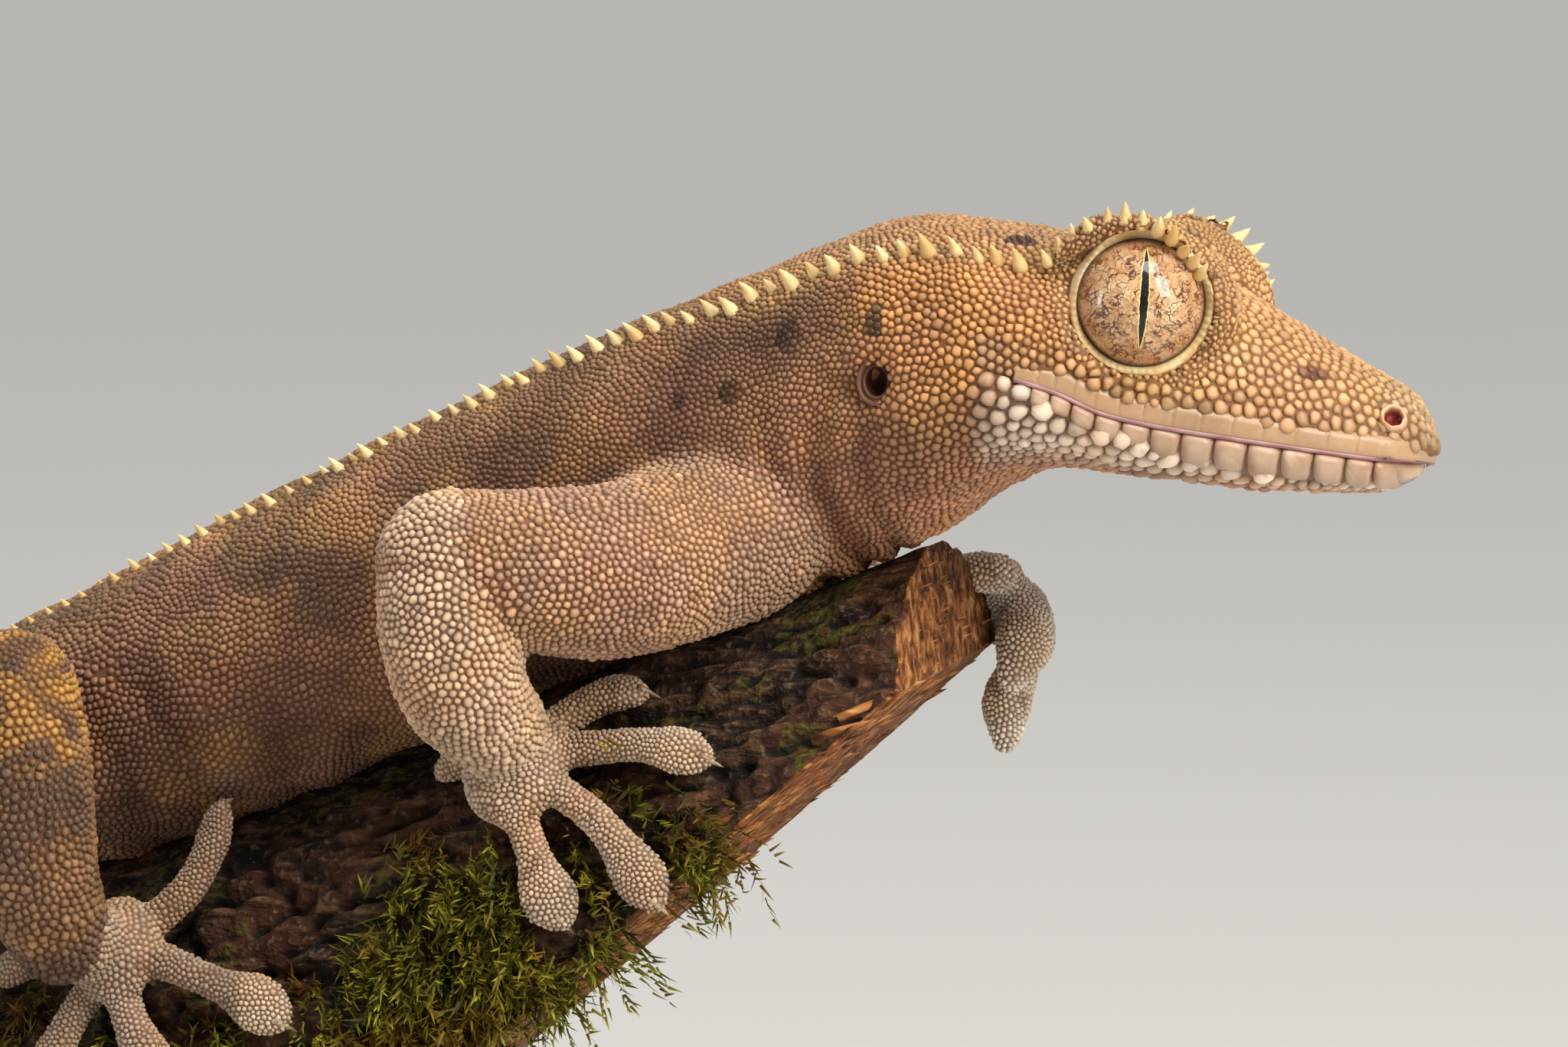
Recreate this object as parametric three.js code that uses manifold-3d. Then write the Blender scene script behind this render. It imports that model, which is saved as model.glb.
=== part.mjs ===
// A crested gecko at life size, lying along a short length of broken branch that stands on a plain display
// stand. Millimetres, +Z up, +X towards the snout, +Y towards the animal's left side. The origin is the
// middle of the stand's underside.
import * as THREE from "three";
import { mergeVertices } from "three/addons/utils/BufferGeometryUtils.js";
import Module from "manifold-3d";

const wasm = await Module();
wasm.setup();

// Driving sizes
const GAP = 0.3; // between pieces that touch
const CHIN_BACK = 0.5; // how far the chin starts behind the snout's tip
const SNOUT = { x: 59.8, z: 72.6 };
const HEAD_PITCH = 10; // degrees that the snout points below the level
const HEAD_ROLL = 3; // degrees that the head leans over to its left
const TRUNK_SLOPE = 24.5; // degrees that the back falls towards the tail
const NAPE = { from: 20, to: 34 }; // the stretch of spine that bends between head and trunk
const NECK_START = 27.2; // distances back from the snout
const CHEST_START = 36;
const BELLY_START = 58;
const VENT = 90;
const NOSE_ROUNDING = 2.2; // the stretch over which the snout's tip rounds off
const NOSE_CROWDING = 1.6; // how closely the sections crowd together at the snout
const BODY_SIDES = 24;
const HEAD_RINGS = 18;

// The mouth line, as distance back from the snout and height above the spine
const MOUTH = [
  [-4, -1.1], [0, -1.05], [0.84, -0.95], [2.8, -1.05], [5.5, -1.14], [8.9, -1.25], [12.3, -1.32],
  [14.6, -1.17], [16.6, -0.63], [19.2, -0.26], [19.9, -0.8],
];
const JAW_BACK = 20.6; // where the lower jaw ends at its corner
const JAW_ROOM = { ahead: 4, below: 14, width: 30 }; // the block that parts the jaw from the head
const LIP = { rise: 0.72, sink: 0.42 }; // how the upper lip lies over the mouth line and in the skin
const SHIELD = { count: 9, first: 1.2, run: 15, drop: 1.05, sink: 0.3, length: 0.8, depth: 0.5 };
const EYE = { s: 14.15, v: 6, h: 4.05, radius: 3.2, rimOut: 1.1, rimRadius: 3.2, rimThickness: 0.42 };
const NOSTRIL = { s: 1.9, v: 3.2, h: 1.12 };
const EAR = { s: 25.2, v: 9.1, h: -1.35 };
const BROW = [
  [18.5, 7.2, 4.7], [17.3, 7.5, 6.2], [15.6, 7.6, 7.2], [13.8, 7.6, 7.3], [12.3, 7.3, 6.5],
  [11.4, 6.7, 5.4], [10.9, 6, 4.3],
];
const BROW_RADII = [0.4, 0.75, 0.85, 0.8, 0.7, 0.5, 0.35];
const EYE_MOUND = { v: 4.7, size: [4.7, 3.7, 3.9] }; // the swelling that an eye sits in
const NOSTRIL_PIT = [0.5, 0.75, 0.42];
const NOSTRIL_RIM = { radius: 0.62, thickness: 0.2 };
const EAR_PIT = [0.7, 1.1, 0.95];
const LASH = { count: 9, radius: 0.34, short: 0.75, long: 1.25, root: 0.55 };
const CREST_START = 19.6;
const CREST = { root: 0.4, lean: 0.35, wobble: 0.22, radius: 0.22, spread: 0.2 };
const CREST_MARGIN = 0.7; // what a row of spines keeps from the ends of its stretch of body
const BRANCH = { x: 20, z: 48.3, slope: 23, halfWidth: 13, halfHeight: 11.5, rear: -62, front: 30 };
const BREAKS = [
  { x: 36, z: 62, lean: -6 },
  { x: 33.4, z: 58.9, lean: 48.4 },
];
const BARK_DEPTH = 0.28;
const LIMB_SIDES = 13;
const LIMB_RINGS = 10;
const TOE_SIDES = 6;
const TOE_RINGS = 7;
const CLAW = { radius: 0.28, past: 0.7 };
const TAIL_SPLITS = [0.34, 0.67]; // shares of the tail at which its lengths meet
const TAIL_RADII = [3.75, 3.1, 2.75, 2.35, 1.9, 1.35, 0.75];
const TAIL_GAP = GAP / 76; // the gap as a share of the tail's length
const TAIL_END = { rounding: 0.97, pad: [0.8, 0.95], broader: 0.5 }; // the rounded tip and its flat pad
const ROD = { x: [4, -20], radius: 2, bottom: 3, top: 36, sides: 22 };
const BASE = { length: 96, width: 60, height: 6, corner: 10, bevel: 1 };

const COLOURS = {
  head: 0xc79a5b,
  jaw: 0xd8c3a4,
  flank: 0xa9825e,
  limb: 0xc2a688,
  eye: 0xa8734a,
  wood: 0x4a3426,
  stand: 0x2b2a29,
};

const radians = THREE.MathUtils.degToRad;
const mix = THREE.MathUtils.lerp;

// A smooth curve through [position, value] pairs: a cubic with each slope taken from the two neighbours.
function profile(pairs) {
  const last = pairs.length - 1;
  const slope = (i) => {
    const [x0, y0] = pairs[Math.max(i - 1, 0)];
    const [x1, y1] = pairs[Math.min(i + 1, last)];
    return (y1 - y0) / (x1 - x0);
  };
  return (x) => {
    if (x <= pairs[0][0]) return pairs[0][1];
    if (x >= pairs[last][0]) return pairs[last][1];
    const i = pairs.findIndex(([next]) => next > x) - 1;
    const [x0, y0] = pairs[i];
    const [x1, y1] = pairs[i + 1];
    const span = x1 - x0;
    const t = (x - x0) / span;
    const u = 1 - t;
    return (
      y0 * (1 + 2 * t) * u * u +
      y1 * (3 - 2 * t) * t * t +
      span * t * u * (slope(i) * u - slope(i + 1) * t)
    );
  };
}

// The body's section along the spine: heights above and below it, the level of the widest line, half width,
// and how full the section's upper and lower halves are (2 is an ellipse).
const bodyTop = profile([
  [0, 1.4], [1.1, 2.1], [2.3, 2.5], [4.3, 3.2], [6.7, 4.1], [9, 4.85], [11, 5.6], [13.5, 6.2], [17, 6.4],
  [22, 6.6], [25.5, 6.6], [30, 5.6], [34, 5.4], [40, 5.6], [50, 5.5], [60, 5.2], [70, 4.7], [80, 4.3],
  [86, 3.7], [90, 3.1],
]);
const bodyBottom = profile([
  [0, 2.3], [2, 2.75], [4, 3.15], [8, 3.65], [13, 4.1], [16, 4.4], [18.5, 5.0], [20.5, 6.3], [23, 8.2],
  [25.5, 9.1], [30, 9.8], [36, 10.1], [50, 9.6], [60, 9.6], [70, 9.0], [80, 7.4], [86, 5.7], [90, 4.3],
]);
const bodyLevel = profile([
  [0, -0.9], [13, -0.9], [18, -0.5], [25, -1.2], [32, -2.2], [40, -2.6], [60, -2.8], [75, -2.2], [90, -0.7],
]);
const bodyWidth = profile([
  [0, 3.7], [2.8, 4.4], [5.5, 5.6], [9, 6.8], [12.5, 7.7], [16, 8.9], [19, 9.6], [22, 9.6], [25, 9.0],
  [29, 7.7], [34, 7.3], [40, 8.2], [47, 9.0], [56, 9.8], [64, 9.8], [72, 8.8], [80, 7.0], [86, 5.2],
  [90, 4.3],
]);
const bodyFullnessUp = profile([[0, 2.1], [12, 2.2], [19, 2.6], [26, 2.6], [32, 2.3], [90, 2.1]]);
const bodyFullnessDown = profile([
  [0, 2.6], [14, 2.5], [22, 2.1], [34, 2.1], [50, 2.5], [72, 2.4], [90, 2.1],
]);

// The spine is a line that turns from the head's pitch to the trunk's slope over the nape.
const spineAngle = (s) =>
  radians(
    mix(-HEAD_PITCH, TRUNK_SLOPE, THREE.MathUtils.smootherstep(s, NAPE.from - 4, NAPE.to + 4)),
  );
const SPINE_STEP = 0.25;
const spinePoints = [new THREE.Vector3(SNOUT.x, 0, SNOUT.z)];
for (let s = 0; s < VENT + 4; s += SPINE_STEP) {
  const angle = spineAngle(s + SPINE_STEP / 2);
  const step = new THREE.Vector3(-Math.cos(angle), 0, -Math.sin(angle)).multiplyScalar(SPINE_STEP);
  spinePoints.push(spinePoints.at(-1).clone().add(step));
}
function spineAt(s) {
  const i = Math.floor(s / SPINE_STEP);
  return spinePoints[i].clone().lerp(spinePoints[i + 1], s / SPINE_STEP - i);
}

// A point of the body's frame: s back from the snout, v to the left, h above the spine. The head is rolled
// a little, its right side up.
function bodyPoint(s, v, h) {
  const angle = spineAngle(s);
  const roll = radians(HEAD_ROLL) * (1 - THREE.MathUtils.smoothstep(s, NAPE.from, NAPE.to));
  const across = v * Math.cos(roll) + h * Math.sin(roll);
  const up = h * Math.cos(roll) - v * Math.sin(roll);
  return spineAt(s).add(new THREE.Vector3(-Math.sin(angle) * up, across, Math.cos(angle) * up));
}

const power = (value, exponent) => Math.sign(value) * Math.abs(value) ** exponent;
const noseRound = (s) => (s < NOSE_ROUNDING ? Math.sqrt(1 - (1 - s / NOSE_ROUNDING) ** 2) : 1);

// A point of the body's skin at distance s, turn degrees round from the right side over the back.
function skinPoint(s, turn, grow = 0) {
  const angle = radians(turn);
  const rising = Math.sin(angle) >= 0;
  const level = bodyLevel(s);
  const reach = noseRound(rising ? s : Math.max(s - CHIN_BACK, 0.02));
  const height = rising ? bodyTop(s) - level : bodyBottom(s) + level;
  const fullness = 2 / (rising ? bodyFullnessUp(s) : bodyFullnessDown(s));
  const v = -(bodyWidth(s) * reach + grow) * power(Math.cos(angle), fullness);
  const h = level + (height * reach + grow) * power(Math.sin(angle), fullness);
  return bodyPoint(s, v, h);
}

const join = (parts) => wasm.Manifold.union(parts);

// Turns a three.js geometry into a solid.
function solid(geometry) {
  const bare = geometry.clone();
  bare.deleteAttribute("normal");
  bare.deleteAttribute("uv");
  const merged = mergeVertices(bare, 1e-4);
  return new wasm.Manifold(
    new wasm.Mesh({
      numProp: 3,
      vertProperties: merged.attributes.position.array,
      triVerts: new Uint32Array(merged.index.array),
    }),
  );
}

// Turns a geometry into a solid whose faces point outwards.
function outward(shape) {
  const part = solid(shape);
  if (part.volume() > 0) return part;
  const flipped = shape.index ? shape.toNonIndexed() : shape.clone();
  const array = flipped.attributes.position;
  for (let i = 0; i < array.count; i += 3) {
    const first = new THREE.Vector3().fromBufferAttribute(array, i);
    const second = new THREE.Vector3().fromBufferAttribute(array, i + 1);
    array.setXYZ(i, second.x, second.y, second.z);
    array.setXYZ(i + 1, first.x, first.y, first.z);
  }
  return solid(flipped);
}

// Reshapes a closed cylinder: place(along, turn, out) gives the point at a share along it, a turn in
// degrees and a share out from its middle line.
function reshape(sides, rings, place) {
  const shape = new THREE.CylinderGeometry(1, 1, 1, sides, rings);
  const position = shape.attributes.position;
  for (let i = 0; i < position.count; i += 1) {
    const [x, y, z] = [position.getX(i), position.getY(i), position.getZ(i)];
    const out = Math.hypot(x, z);
    const turn = out > 0.5 ? THREE.MathUtils.radToDeg(Math.atan2(z, x)) : 0;
    const point = place(0.5 - y, Math.round(turn * 1e3) / 1e3, out > 0.5 ? 1 : 0);
    position.setXYZ(i, point.x, point.y, point.z);
  }
  return solid(shape);
}

// The stretch of body from one distance to another, grown outwards by some clearance.
function bodyStretch(from, to, sides, rings, grow = 0) {
  const start = Math.max(from, 0.02);
  return reshape(sides, rings, (along, turn, out) => {
    const eased = from === 0 ? along ** NOSE_CROWDING : along;
    const s = mix(start, to, eased);
    if (out) return skinPoint(s, turn, grow);
    return skinPoint(s, 0, grow).lerp(skinPoint(s, 180, grow), 0.5);
  });
}

const vector = ([x, y, z]) => new THREE.Vector3(x, y, z);
const mirrored = (points) => points.map(([x, y, z]) => [x, -y, z]);

// A swept tube with rounded ends through points, with the radius at each of them.
function tube(points, radii, sides, rings, grow = 0) {
  const curve = new THREE.CatmullRomCurve3(points.map(vector), false, "centripetal");
  const radius = profile(radii.map((value, i) => [i / (radii.length - 1), value]));
  const length = curve.getLength();
  const start = (radii[0] + grow) / length;
  const end = (radii.at(-1) + grow) / length;
  return reshape(sides, rings, (along, turn, out) => {
    const t = mix(-start, 1 + end, (1 - Math.cos(Math.PI * (0.02 + 0.96 * along))) / 2);
    const inside = THREE.MathUtils.clamp(t, 0, 1);
    const over = t < 0 ? -t / start : t > 1 ? (t - 1) / end : 0;
    const tangent = curve.getTangent(inside);
    const side = new THREE.Vector3().crossVectors(tangent, new THREE.Vector3(0, 1, 0)).normalize();
    const rise = new THREE.Vector3().crossVectors(tangent, side);
    const reach = (radius(inside) + grow) * Math.sqrt(Math.max(1 - over * over, 0)) * out;
    return curve
      .getPoint(inside)
      .addScaledVector(tangent, (t - inside) * length)
      .addScaledVector(side, Math.cos(radians(turn)) * reach)
      .addScaledVector(rise, Math.sin(radians(turn)) * reach);
  });
}

// The branch's own frame: a distance along it from a point under the hands, an angle round from its top
// towards the near side, and a lift off its bark.
const branchAngle = radians(BRANCH.slope);
const branchAxis = new THREE.Vector3(Math.cos(branchAngle), 0, Math.sin(branchAngle));
const branchUp = new THREE.Vector3(-Math.sin(branchAngle), 0, Math.cos(branchAngle));
const barkPerDegree = BRANCH.halfWidth * radians(1);
function onBranch(along, around, lift) {
  const angle = radians(around);
  return new THREE.Vector3(BRANCH.x, 0, BRANCH.z)
    .addScaledVector(branchAxis, along)
    .addScaledVector(branchUp, Math.cos(angle) * (BRANCH.halfHeight + lift))
    .add(new THREE.Vector3(0, -Math.sin(angle) * (BRANCH.halfWidth + lift), 0));
}

// The log, broken off in a wedge at its front; its bark only ever dips below the plain surface.
function branchLog(sides, rings, grow, rough) {
  const log = reshape(sides, rings, (share, turn, out) => {
    const along = mix(BRANCH.rear, BRANCH.front, share);
    const ridges = Math.sin(3 * radians(turn) + along * 0.21) + Math.sin(7 * radians(turn) - along * 0.13);
    const dip = rough * (ridges - 2);
    return out ? onBranch(along, turn - 90, grow + dip) : onBranch(along, 0, -BRANCH.halfHeight);
  });
  return BREAKS.reduce((left, { x, z, lean }) => {
    const normal = new THREE.Vector3(-Math.cos(radians(lean)), 0, Math.sin(radians(lean)));
    return left.trimByPlane(normal.toArray(), normal.x * x + normal.z * z - grow);
  }, log);
}

// A toe laid over the bark along a path of [along, around, lift]: flattened, wider at its pad, and pointed.
function toe(path, width, pad) {
  const curve = new THREE.CatmullRomCurve3(path.map(vector), false, "centripetal");
  const wide = profile([
    [0, width], [0.45, width * 0.9], [0.72, pad], [0.88, pad * 0.85], [1, pad * 0.3],
  ]);
  const high = profile([
    [0, width * 0.95], [0.5, width * 0.85], [0.75, width * 0.75], [1, width * 0.35],
  ]);
  const body = reshape(TOE_SIDES, TOE_RINGS, (share, turn, out) => {
    const t = 0.5 - Math.cos(Math.PI * share) / 2;
    const here = curve.getPoint(t);
    const way = curve.getTangent(t);
    const across = new THREE.Vector2(way.y * barkPerDegree, -way.x).normalize();
    const reach = wide(t) * Math.cos(radians(turn)) * out;
    const lift = here.z + high(t) * (1 + Math.sin(radians(turn)) * out);
    return onBranch(here.x + across.x * reach, here.y + (across.y * reach) / barkPerDegree, lift);
  });
  return join([body, claw(curve, width)]);
}

// The claw past a toe's tip.
function claw(curve, width) {
  const tip = curve.getPoint(1);
  const before = curve.getPoint(0.93);
  const base = onBranch(before.x, before.y, before.z + width * 0.55);
  const end = onBranch(tip.x, tip.y, tip.z + width * 0.35);
  const point = end.clone().add(end.clone().sub(base).normalize().multiplyScalar(CLAW.past));
  return cone(base, point, CLAW.radius, 5);
}

// A pointed cone from the middle of its base to its tip.
function cone(base, tip, radius, sides) {
  const axis = tip.clone().sub(base);
  const length = axis.length();
  const shape = new THREE.ConeGeometry(radius, length, sides);
  shape.translate(0, length / 2, 0);
  const turn = new THREE.Quaternion().setFromUnitVectors(new THREE.Vector3(0, 1, 0), axis.normalize());
  shape.applyQuaternion(turn);
  shape.translate(base.x, base.y, base.z);
  return solid(shape);
}

// A ball stretched along the body's own directions, centred at s, v, h.
function bodyBall([s, v, h], [long, wide, high], segments = 14) {
  const shape = new THREE.SphereGeometry(1, segments, Math.round(segments * 0.6));
  const position = shape.attributes.position;
  for (let i = 0; i < position.count; i += 1) {
    const [x, y, z] = [position.getX(i), position.getY(i), position.getZ(i)];
    const point = bodyPoint(s - x * long, v + z * wide * -1, h + y * high);
    position.setXYZ(i, point.x, point.y, point.z);
  }
  return solid(shape);
}

const onSide = (side, [s, v, h]) => bodyPoint(s, v * side, h).toArray();

// Brow over an eye: a ridge that hangs out over the ball, edged with spines like lashes.
function brow(side) {
  const ridge = tube(BROW.map((point) => onSide(side, point)), BROW_RADII, 6, 8);
  const curve = new THREE.CatmullRomCurve3(BROW.map(vector), false, "centripetal");
  const lashes = [];
  for (let i = 0; i < LASH.count; i += 1) lashes.push(lash(curve, i, side));
  return join([ridge, ...lashes]);
}

// One lash; they are longest over the middle of the eye and fan out from it.
function lash(curve, i, side) {
  const t = (i + 0.6) / (LASH.count + 0.2);
  const here = curve.getPoint(t);
  const varied = 1 + 0.2 * Math.sin(i * 2.6);
  const size = mix(LASH.short, LASH.long, Math.sin(Math.PI * t)) * varied;
  const out = new THREE.Vector3(0.1 - 0.9 * (t - 0.5), 1, 0.55 + 0.3 * Math.sin(i * 1.7)).normalize();
  const base = bodyPoint(here.x, side * (here.y + 0.3), here.z);
  const tip = here.addScaledVector(out, size + LASH.root);
  return cone(base, bodyPoint(tip.x, side * tip.y, tip.z), LASH.radius, 5);
}

// A torus laid flat against an outward direction.
function ring(centre, way, radius, thickness, tubeSides, sides) {
  const shape = new THREE.TorusGeometry(radius, thickness, tubeSides, sides);
  shape.applyQuaternion(new THREE.Quaternion().setFromUnitVectors(new THREE.Vector3(0, 0, 1), way));
  shape.translate(centre.x, centre.y, centre.z);
  return solid(shape);
}

// The rim of skin round an eye.
function eyeRim(side) {
  const centre = bodyPoint(EYE.s, side * (EYE.v + EYE.rimOut), EYE.h);
  const way = bodyPoint(EYE.s, side * (EYE.v + 9), EYE.h + 1.2).sub(centre).normalize();
  return ring(centre, way, EYE.rimRadius, EYE.rimThickness, 5, 20);
}

const eyeBall = (side, grow) =>
  bodyBall([EYE.s, side * EYE.v, EYE.h], new Array(3).fill(EYE.radius + grow), 16);

// Crest: how far round the body each row runs, how tall its spines are and how far apart
const crestTurn = profile([[19, 44], [25, 46], [30, 52], [38, 64], [50, 68], [84, 70]]);
const crestSize = profile([[19, 1.15], [24, 1.35], [31, 1.2], [40, 1.05], [60, 0.75], [86, 0.5]]);
const crestSpacing = profile([[19, 1.15], [34, 1.25], [50, 1.5], [86, 1.9]]);

// A row of spines down one side, leaning back, from behind the eye over the nape and along the back.
function crest(from, to, side) {
  const spines = [];
  for (let s = from; s < to; s += crestSpacing(s)) {
    const wobble = Math.sin(s * 5.3) * 0.5 + Math.sin(s * 2.1) * 0.5;
    const size = crestSize(s);
    const turn = crestTurn(s) + wobble * 1.5;
    const face = side > 0 ? 180 - turn : turn;
    const surface = skinPoint(s, face);
    const out = surface.clone().sub(skinPoint(s, face, -1)).normalize();
    const back = skinPoint(s + 0.5, face).sub(surface).normalize();
    const base = surface.clone().addScaledVector(out, -CREST.root);
    const length = size * (1 + CREST.wobble * wobble);
    const tip = surface.clone().addScaledVector(out, length).addScaledVector(back, length * CREST.lean);
    spines.push(cone(base, tip, CREST.radius + size * CREST.spread, 4));
  }
  return spines;
}

const crests = (from, to) => [...crest(from, to, 1), ...crest(from, to, -1)];

// The part of the head below the mouth line, as a block to keep or to cut away.
function jawBlock(shift) {
  const outline = MOUTH.map(([s, h]) => new THREE.Vector2(s + shift, h + shift));
  outline.push(
    new THREE.Vector2(JAW_BACK + shift, -JAW_ROOM.below),
    new THREE.Vector2(-JAW_ROOM.ahead, -JAW_ROOM.below),
  );
  const block = new THREE.ExtrudeGeometry(new THREE.Shape(outline), {
    depth: JAW_ROOM.width,
    steps: 1,
    curveSegments: 1,
    bevelEnabled: false,
  });
  const position = block.attributes.position;
  for (let i = 0; i < position.count; i += 1) {
    const across = position.getZ(i) - JAW_ROOM.width / 2;
    const point = bodyPoint(Math.max(position.getX(i), 0), across, position.getY(i));
    if (position.getX(i) < 0) point.x -= position.getX(i);
    position.setXYZ(i, point.x, point.y, point.z);
  }
  return outward(block);
}

// Keeps the largest closed surface of a solid that was cut.
function largest(part) {
  const pieces = part.decompose();
  return pieces.reduce((best, piece) => (piece.volume() > best.volume() ? piece : best));
}

// Adds a solid to the group as a named mesh.
const group = new THREE.Group();
function add(name, part, colour, roughness = 0.7) {
  const mesh = largest(part).getMesh();
  const geometry = new THREE.BufferGeometry();
  geometry.setAttribute("position", new THREE.BufferAttribute(mesh.vertProperties, 3));
  geometry.setIndex(new THREE.BufferAttribute(mesh.triVerts, 1));
  const material = new THREE.MeshStandardMaterial({ color: colour, roughness, metalness: 0 });
  const node = new THREE.Mesh(geometry, material);
  node.name = name;
  group.add(node);
}

const mouthHeight = profile(MOUTH.filter(([at]) => at >= 0));

// The skin's sideways reach at a height of the head.
function headReach(s, h) {
  const level = bodyLevel(s);
  const rising = h >= level;
  const height = rising ? bodyTop(s) - level : bodyBottom(s) + level;
  const fullness = rising ? bodyFullnessUp(s) : bodyFullnessDown(s);
  const share = Math.min(Math.abs(h - level) / (height * noseRound(s)), 0.99);
  return bodyWidth(s) * noseRound(s) * (1 - share ** fullness) ** (1 / fullness);
}

// Upper lip: a smooth raised band just over the mouth line.
function lip(side) {
  const points = [0.9, 2.5, 5, 8, 11, 14, 16.5, 18.6].map((s) => {
    const h = mouthHeight(s) + LIP.rise;
    return onSide(side, [s, headReach(s, h) - LIP.sink, h]);
  });
  return tube(points, [0.5, 0.6, 0.62, 0.62, 0.62, 0.6, 0.5, 0.35], 5, 10);
}

// Lower lip shields: rounded plates in a row under the mouth line.
function lipShields(side) {
  const shields = [];
  for (let i = 0; i < SHIELD.count; i += 1) {
    const share = i / (SHIELD.count - 1);
    const s = SHIELD.first + share * SHIELD.run;
    const h = mouthHeight(s) - SHIELD.drop;
    const size = [SHIELD.length, SHIELD.depth, mix(0.72, 0.95, Math.sin(Math.PI * share))];
    shields.push(bodyBall([s, side * (headReach(s, h) - SHIELD.sink), h], size, 5));
  }
  return shields;
}

// The raised ring round a nostril.
function nostrilRim(side) {
  const reach = headReach(NOSTRIL.s, NOSTRIL.h) - 0.05;
  const centre = bodyPoint(NOSTRIL.s, side * reach, NOSTRIL.h);
  const way = new THREE.Vector3(0.25, side * 0.85, 0.45).normalize();
  return ring(centre, way, NOSTRIL_RIM.radius, NOSTRIL_RIM.thickness, 4, 8);
}

// The openings of one side of the head: the eye's socket, the nostril and the ear.
function openings(side) {
  return [
    eyeBall(side, GAP),
    bodyBall([NOSTRIL.s, side * NOSTRIL.v, NOSTRIL.h], NOSTRIL_PIT, 8),
    bodyBall([EAR.s, side * EAR.v, EAR.h], EAR_PIT, 10),
  ];
}

// The head with both jaws in one, its brows, eye rims, lips, nostrils and the first spines of its crest.
function makeHead() {
  const added = [bodyStretch(0, NECK_START - GAP / 2, BODY_SIDES, HEAD_RINGS)];
  for (const side of [-1, 1]) {
    added.push(bodyBall([EYE.s, side * EYE_MOUND.v, EYE.h], EYE_MOUND.size, 13));
    added.push(brow(side), eyeRim(side), lip(side), nostrilRim(side));
  }
  added.push(...crests(CREST_START, NECK_START - 0.6));
  return join(added).subtract(join([...openings(-1), ...openings(1)]));
}

// A limb of two lengths that meet at a bend, each cut square to the bend's middle.
function bentLimb(upper, lower, upperRadii, lowerRadii) {
  const bend = vector(lower[0]);
  const wayIn = bend.clone().sub(vector(upper.at(-2))).normalize();
  const wayOut = vector(lower[1]).sub(bend).normalize();
  const normal = wayIn.add(wayOut).normalize();
  const offset = normal.dot(bend);
  const backwards = normal.clone().negate();
  const first = tube(upper, upperRadii, LIMB_SIDES, LIMB_RINGS);
  const second = tube(lower, lowerRadii, LIMB_SIDES, LIMB_RINGS);
  return [
    first.trimByPlane(backwards.toArray(), GAP / 2 - offset),
    second.trimByPlane(normal.toArray(), offset + GAP / 2),
  ];
}

// The palm or sole: a flattened ball over the bark.
function palm([along, around, lift], size) {
  const shape = new THREE.SphereGeometry(1, 10, 7);
  const position = shape.attributes.position;
  for (let i = 0; i < position.count; i += 1) {
    const [x, y, z] = [position.getX(i), position.getY(i), position.getZ(i)];
    const turn = around + (z * size[1]) / barkPerDegree;
    const point = onBranch(along + x * size[0], turn, lift + y * size[2]);
    position.setXYZ(i, point.x, point.y, point.z);
  }
  return outward(shape);
}

// What the limbs keep clear of: the trunk and the branch, each grown by the gap.
const trunkGrown = bodyStretch(30, VENT + 3, BODY_SIDES, 22, GAP);
const branchGrown = branchLog(40, 1, GAP, 0); // a plain log whose sides stand outside the rough one's
const clear = (part) => part.subtract(trunkGrown).subtract(branchGrown);

// A whole limb: two lengths, and a hand or foot whose toes lie on the bark or hook through the air.
function addLimb(side, names, { upper, lower, upperRadii, lowerRadii, foot }) {
  const [first, second] = bentLimb(upper, lower, upperRadii, lowerRadii);
  const lowerGrown = tube(lower, lowerRadii, LIMB_SIDES, LIMB_RINGS, GAP);
  const toes = foot.toes.map((path, i) => toe(path, foot.width, foot.pads[i]));
  const hooked = (foot.hooked ?? []).map(([points, radii]) => tube(points, radii, TOE_SIDES, TOE_RINGS));
  const hand = join([palm(foot.palm, foot.palmSize), ...toes, ...hooked]);
  add(`${names[0]}_${side}`, clear(first), COLOURS.limb);
  add(`${names[1]}_${side}`, clear(second), COLOURS.limb);
  add(`${names[2]}_${side}`, clear(hand.subtract(lowerGrown)), COLOURS.limb);
}

// Head, jaw and eyes
const head = makeHead();
add("head", head.subtract(jawBlock(GAP)), COLOURS.head);
const headForm = bodyStretch(0, NECK_START - GAP / 2, BODY_SIDES, HEAD_RINGS);
const jawShell = join([headForm, ...lipShields(1), ...lipShields(-1)]);
add("lower_jaw", jawShell.intersect(jawBlock(0)), COLOURS.jaw);
add("eye_right", eyeBall(-1, 0), COLOURS.eye, 0.1);
add("eye_left", eyeBall(1, 0), COLOURS.eye, 0.1);

// Neck, chest and belly, with their stretches of the crest
function addStretch(name, from, to, rings) {
  const flesh = bodyStretch(from + GAP / 2, to - GAP / 2, BODY_SIDES, rings);
  add(name, join([flesh, ...crests(from + CREST_MARGIN, to - CREST_MARGIN)]), COLOURS.flank);
}
addStretch("neck", NECK_START, CHEST_START, 6);
addStretch("chest", CHEST_START, BELLY_START, 10);
addStretch("belly", BELLY_START, VENT, 14);

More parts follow.
